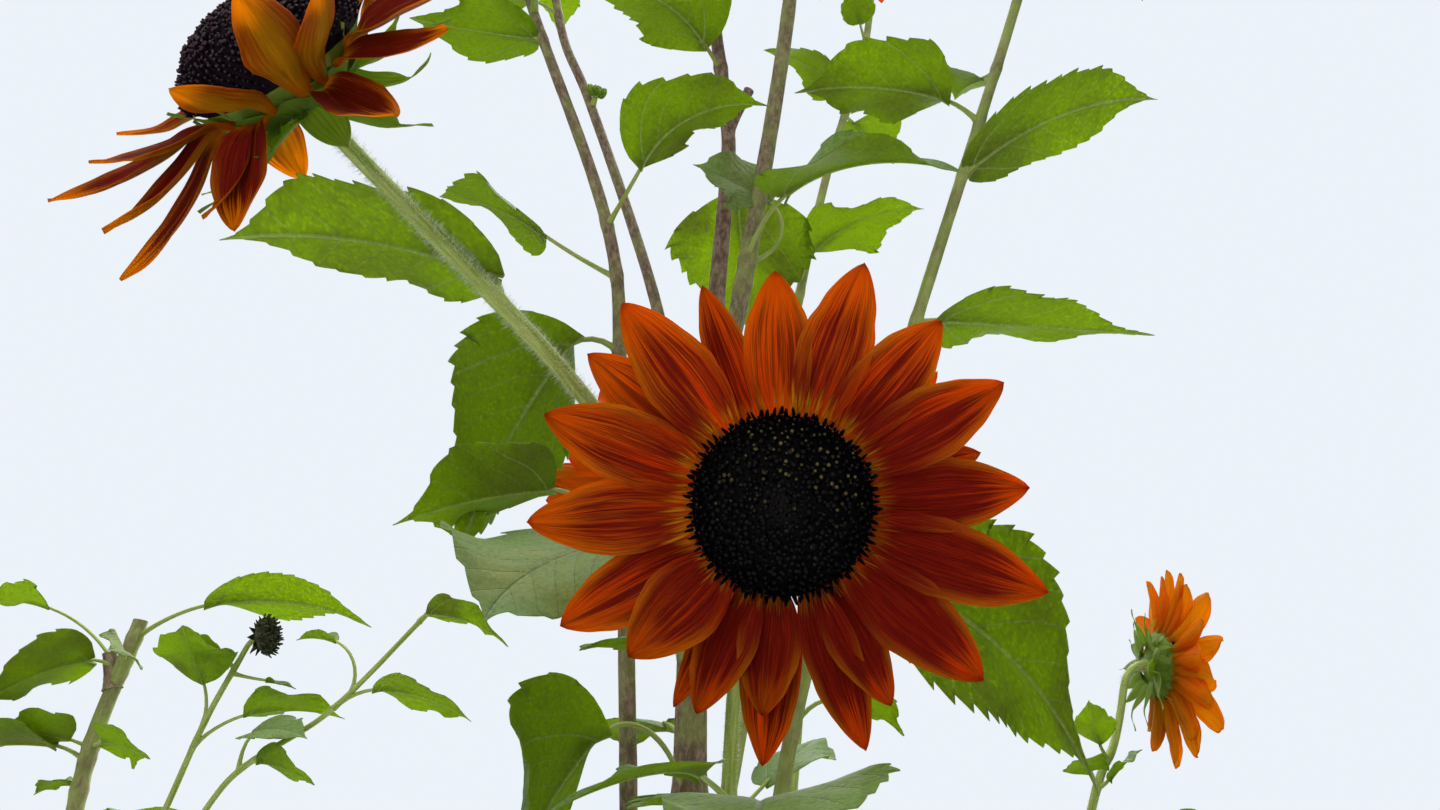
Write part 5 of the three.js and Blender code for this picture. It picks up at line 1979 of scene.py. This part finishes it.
    def bud_patches(self) -> list[Patch]:
        """Closed buds: a round heart hugged by pointed scales.

        Returns:
            The heart and the scales of every bud.
        """
        patches = []
        s, scales = np.linspace(0, 1, 10), 12
        for name, limb in self.limbs.items():
            for k, (share, heading, climb, length, radius) in enumerate(limb.buds):
                face = direction(heading, climb)
                tip = self.paths[name].at(share) + face * length
                place = BloomPlace.facing(tip[None], tip, face)
                angle = np.linspace(-1.5, 1.5, 9)
                profile = np.stack([np.cos(angle), 0.8 * np.sin(angle)], -1) * radius * 0.8
                patches.append(lathe(tip, face, place.right, profile, 20))
                half = radius * 0.42 * (1 - s) ** 0.8 * (1 + s) + 0.05
                for i in range(scales):
                    chance = float(scatter(i * 3.0 + k + radius))
                    line = place.line(i * 360 / scales + 9 * chance, radius * 0.45, radius * 1.75,
                                      -radius * 0.55, 52 + 22 * chance, -75, s)
                    patches.append(line.scale(s, half, -0.3, chance))
        return patches

    def seed_head(self) -> None:
        """The dry head: a small dark disc with short bent points round it."""
        place = SEED_HEAD.place(self.paths["seed"])
        patches = SEED_HEAD.disc_patches(place, SEED_HEAD_SEED) + [SEED_HEAD.calyx(place)]
        s, points = np.linspace(0, 1, 12), 14
        half = 2.6 * (1 - s) ** 1.1 + 0.08
        for i in range(points):
            chance = [float(scatter(i * 5 + k + 3)) for k in range(3)]
            line = place.line(i * 360 / points, 5.0, SEED_HEAD.disc * (0.85 + 0.3 * chance[0]),
                              -4.0, 24 - 50 * chance[1], -50 + 70 * chance[2], s)
            patches.append(line.scale(s, half, 0.4, chance[2]))
        make_piece("seed_head_husk", patches, HUSK.make(), ["seed_head"], 50)

    def hairs(self) -> None:
        """The pale bristles on the upper stem, the limbs and the necks."""
        length = self.trunk_path.length
        patches = [hair_coat(self.trunk_path, lambda share: self.trunk.radius(share, length),
                             self.trunk.hairs, self.trunk.hair_length, TRUNK_HAIR_SEED,
                             self.trunk.hairs_from)]
        for i, (name, limb) in enumerate(self.limbs.items()):
            patches.append(limb.hair_patch(self.paths[name], i + 1))
        for i, bloom in enumerate(self.blooms.values()):
            place = bloom.place(self.paths[bloom.limb])
            tip_radius = self.limbs[bloom.limb].radius[1]
            patches.append(bloom.neck_hairs(place, tip_radius, NECK_HAIR_SEED + i))
        make_piece("stem_bristles", patches, BRISTLE.make(), [])


# The studio.


@dataclass(frozen=True)
class Studio:
    """A pale floor, a pale surround, soft lights and the camera."""

    eye: Triple = (0.010, -0.480, 1.200)
    pitch: float = 25.0
    lens: float = 26.0
    sensor: float = 36.0
    aim: Triple = (0.0, 0.0, 1.3)
    sky: Colour = (0.84, 0.89, 0.95)
    glow: float = 0.42

    def set_camera(self) -> None:
        """A wide lens close under the front bloom, tipped up."""
        data = bpy.data.cameras.new("view")
        data.lens = self.lens
        data.sensor_width = self.sensor
        data.clip_start = 0.01
        camera = bpy.data.objects.new("view", data)
        camera.location = self.eye
        camera.rotation_euler = (math.radians(90 + self.pitch), 0, 0)
        bpy.context.scene.collection.objects.link(camera)
        bpy.context.scene.camera = camera

    def light(self, name: str, place: Triple, size: float, power: float, colour: Colour) -> None:
        """A square soft light aimed at the crown.

        Args:
            name: the light's name.
            place: where it hangs, in metres.
            size: its side.
            power: its watts.
            colour: its colour.
        """
        data = bpy.data.lights.new(name, "AREA")
        data.energy, data.size, data.color = power, size, colour
        lamp = bpy.data.objects.new(name, data)
        lamp.location = place
        x, y, z = np.array(self.aim) - np.array(place)
        heading = math.atan2(y, x)
        down = math.atan2(-z, math.hypot(x, y))
        lamp.rotation_euler = (math.pi / 2 - down, 0, heading - math.pi / 2)
        bpy.context.scene.collection.objects.link(lamp)

    def set_lights(self) -> None:
        """Light from above and behind, as from a bright overcast sky, and a front fill.

        The surround glows less on the plant than it shows to the camera.
        """
        self.light("over", (0.3, 0.5, 4.2), 3.0, 190, (1.0, 0.99, 0.97))
        self.light("behind", (0.6, 3.4, 2.9), 2.5, 105, (0.99, 1.0, 1.0))
        self.light("fill", (-1.2, -2.8, 1.9), 2.2, 26, (1.0, 0.98, 0.95))
        board = Board(bpy.data.worlds.new("surround"))
        glow, seen = [board.node("ShaderNodeBackground", {}, {"Color": self.sky, "Strength": much})
                      for much in (self.glow, 1.0)]
        ray = board.node("ShaderNodeLightPath", {}, output="Is Camera Ray")
        pick = board.node("ShaderNodeMixShader", {}, {0: ray, 1: glow, 2: seen})
        board.node("ShaderNodeOutputWorld", {}, {0: pick})
        bpy.context.scene.world = board.owner
        bpy.context.scene.view_settings.view_transform = "Standard"

    def lay_floor(self) -> None:
        """A round pale floor just under ground level, that falls a little to its edge.

        Its profile is given in metres from the middle and above the ground.
        """
        profile = np.array([(0.01, -0.06), (3.0, -0.06), (3.0, -0.03), (2.6, -0.004),
                            (1.6, -0.001), (0.6, 0.0), (0.01, 0.0)])
        below_ground = np.array([0, 0, -0.2])
        up, right = np.array([0, 0, 1.0]), np.array([1.0, 0, 0])
        floor = lathe(below_ground, up, right, profile / MM, 96)
        mesh = bpy.data.meshes.new("floor")
        faces = [face for block in floor.faces for face in block.tolist()]
        mesh.from_pydata((floor.points * MM).tolist(), [], faces)
        mesh.materials.append(PALE_FLOOR.make())
        piece = bpy.data.objects.new("floor", mesh)
        bpy.context.scene.collection.objects.link(piece)


def main() -> None:
    """Builds the studio and the plant."""
    logging.basicConfig(level=logging.INFO, format="%(message)s")
    studio = Studio()
    studio.set_camera()
    studio.set_lights()
    studio.lay_floor()
    plant = Plant(Trunk(), LIMBS, BLOOMS)
    makers: list[Callable[[], None]] = [plant.stems, plant.stalks, plant.blades, plant.flowers,
                                        plant.seed_head, plant.hairs]
    for maker in makers:
        maker()


if __name__ == "__main__":
    main()
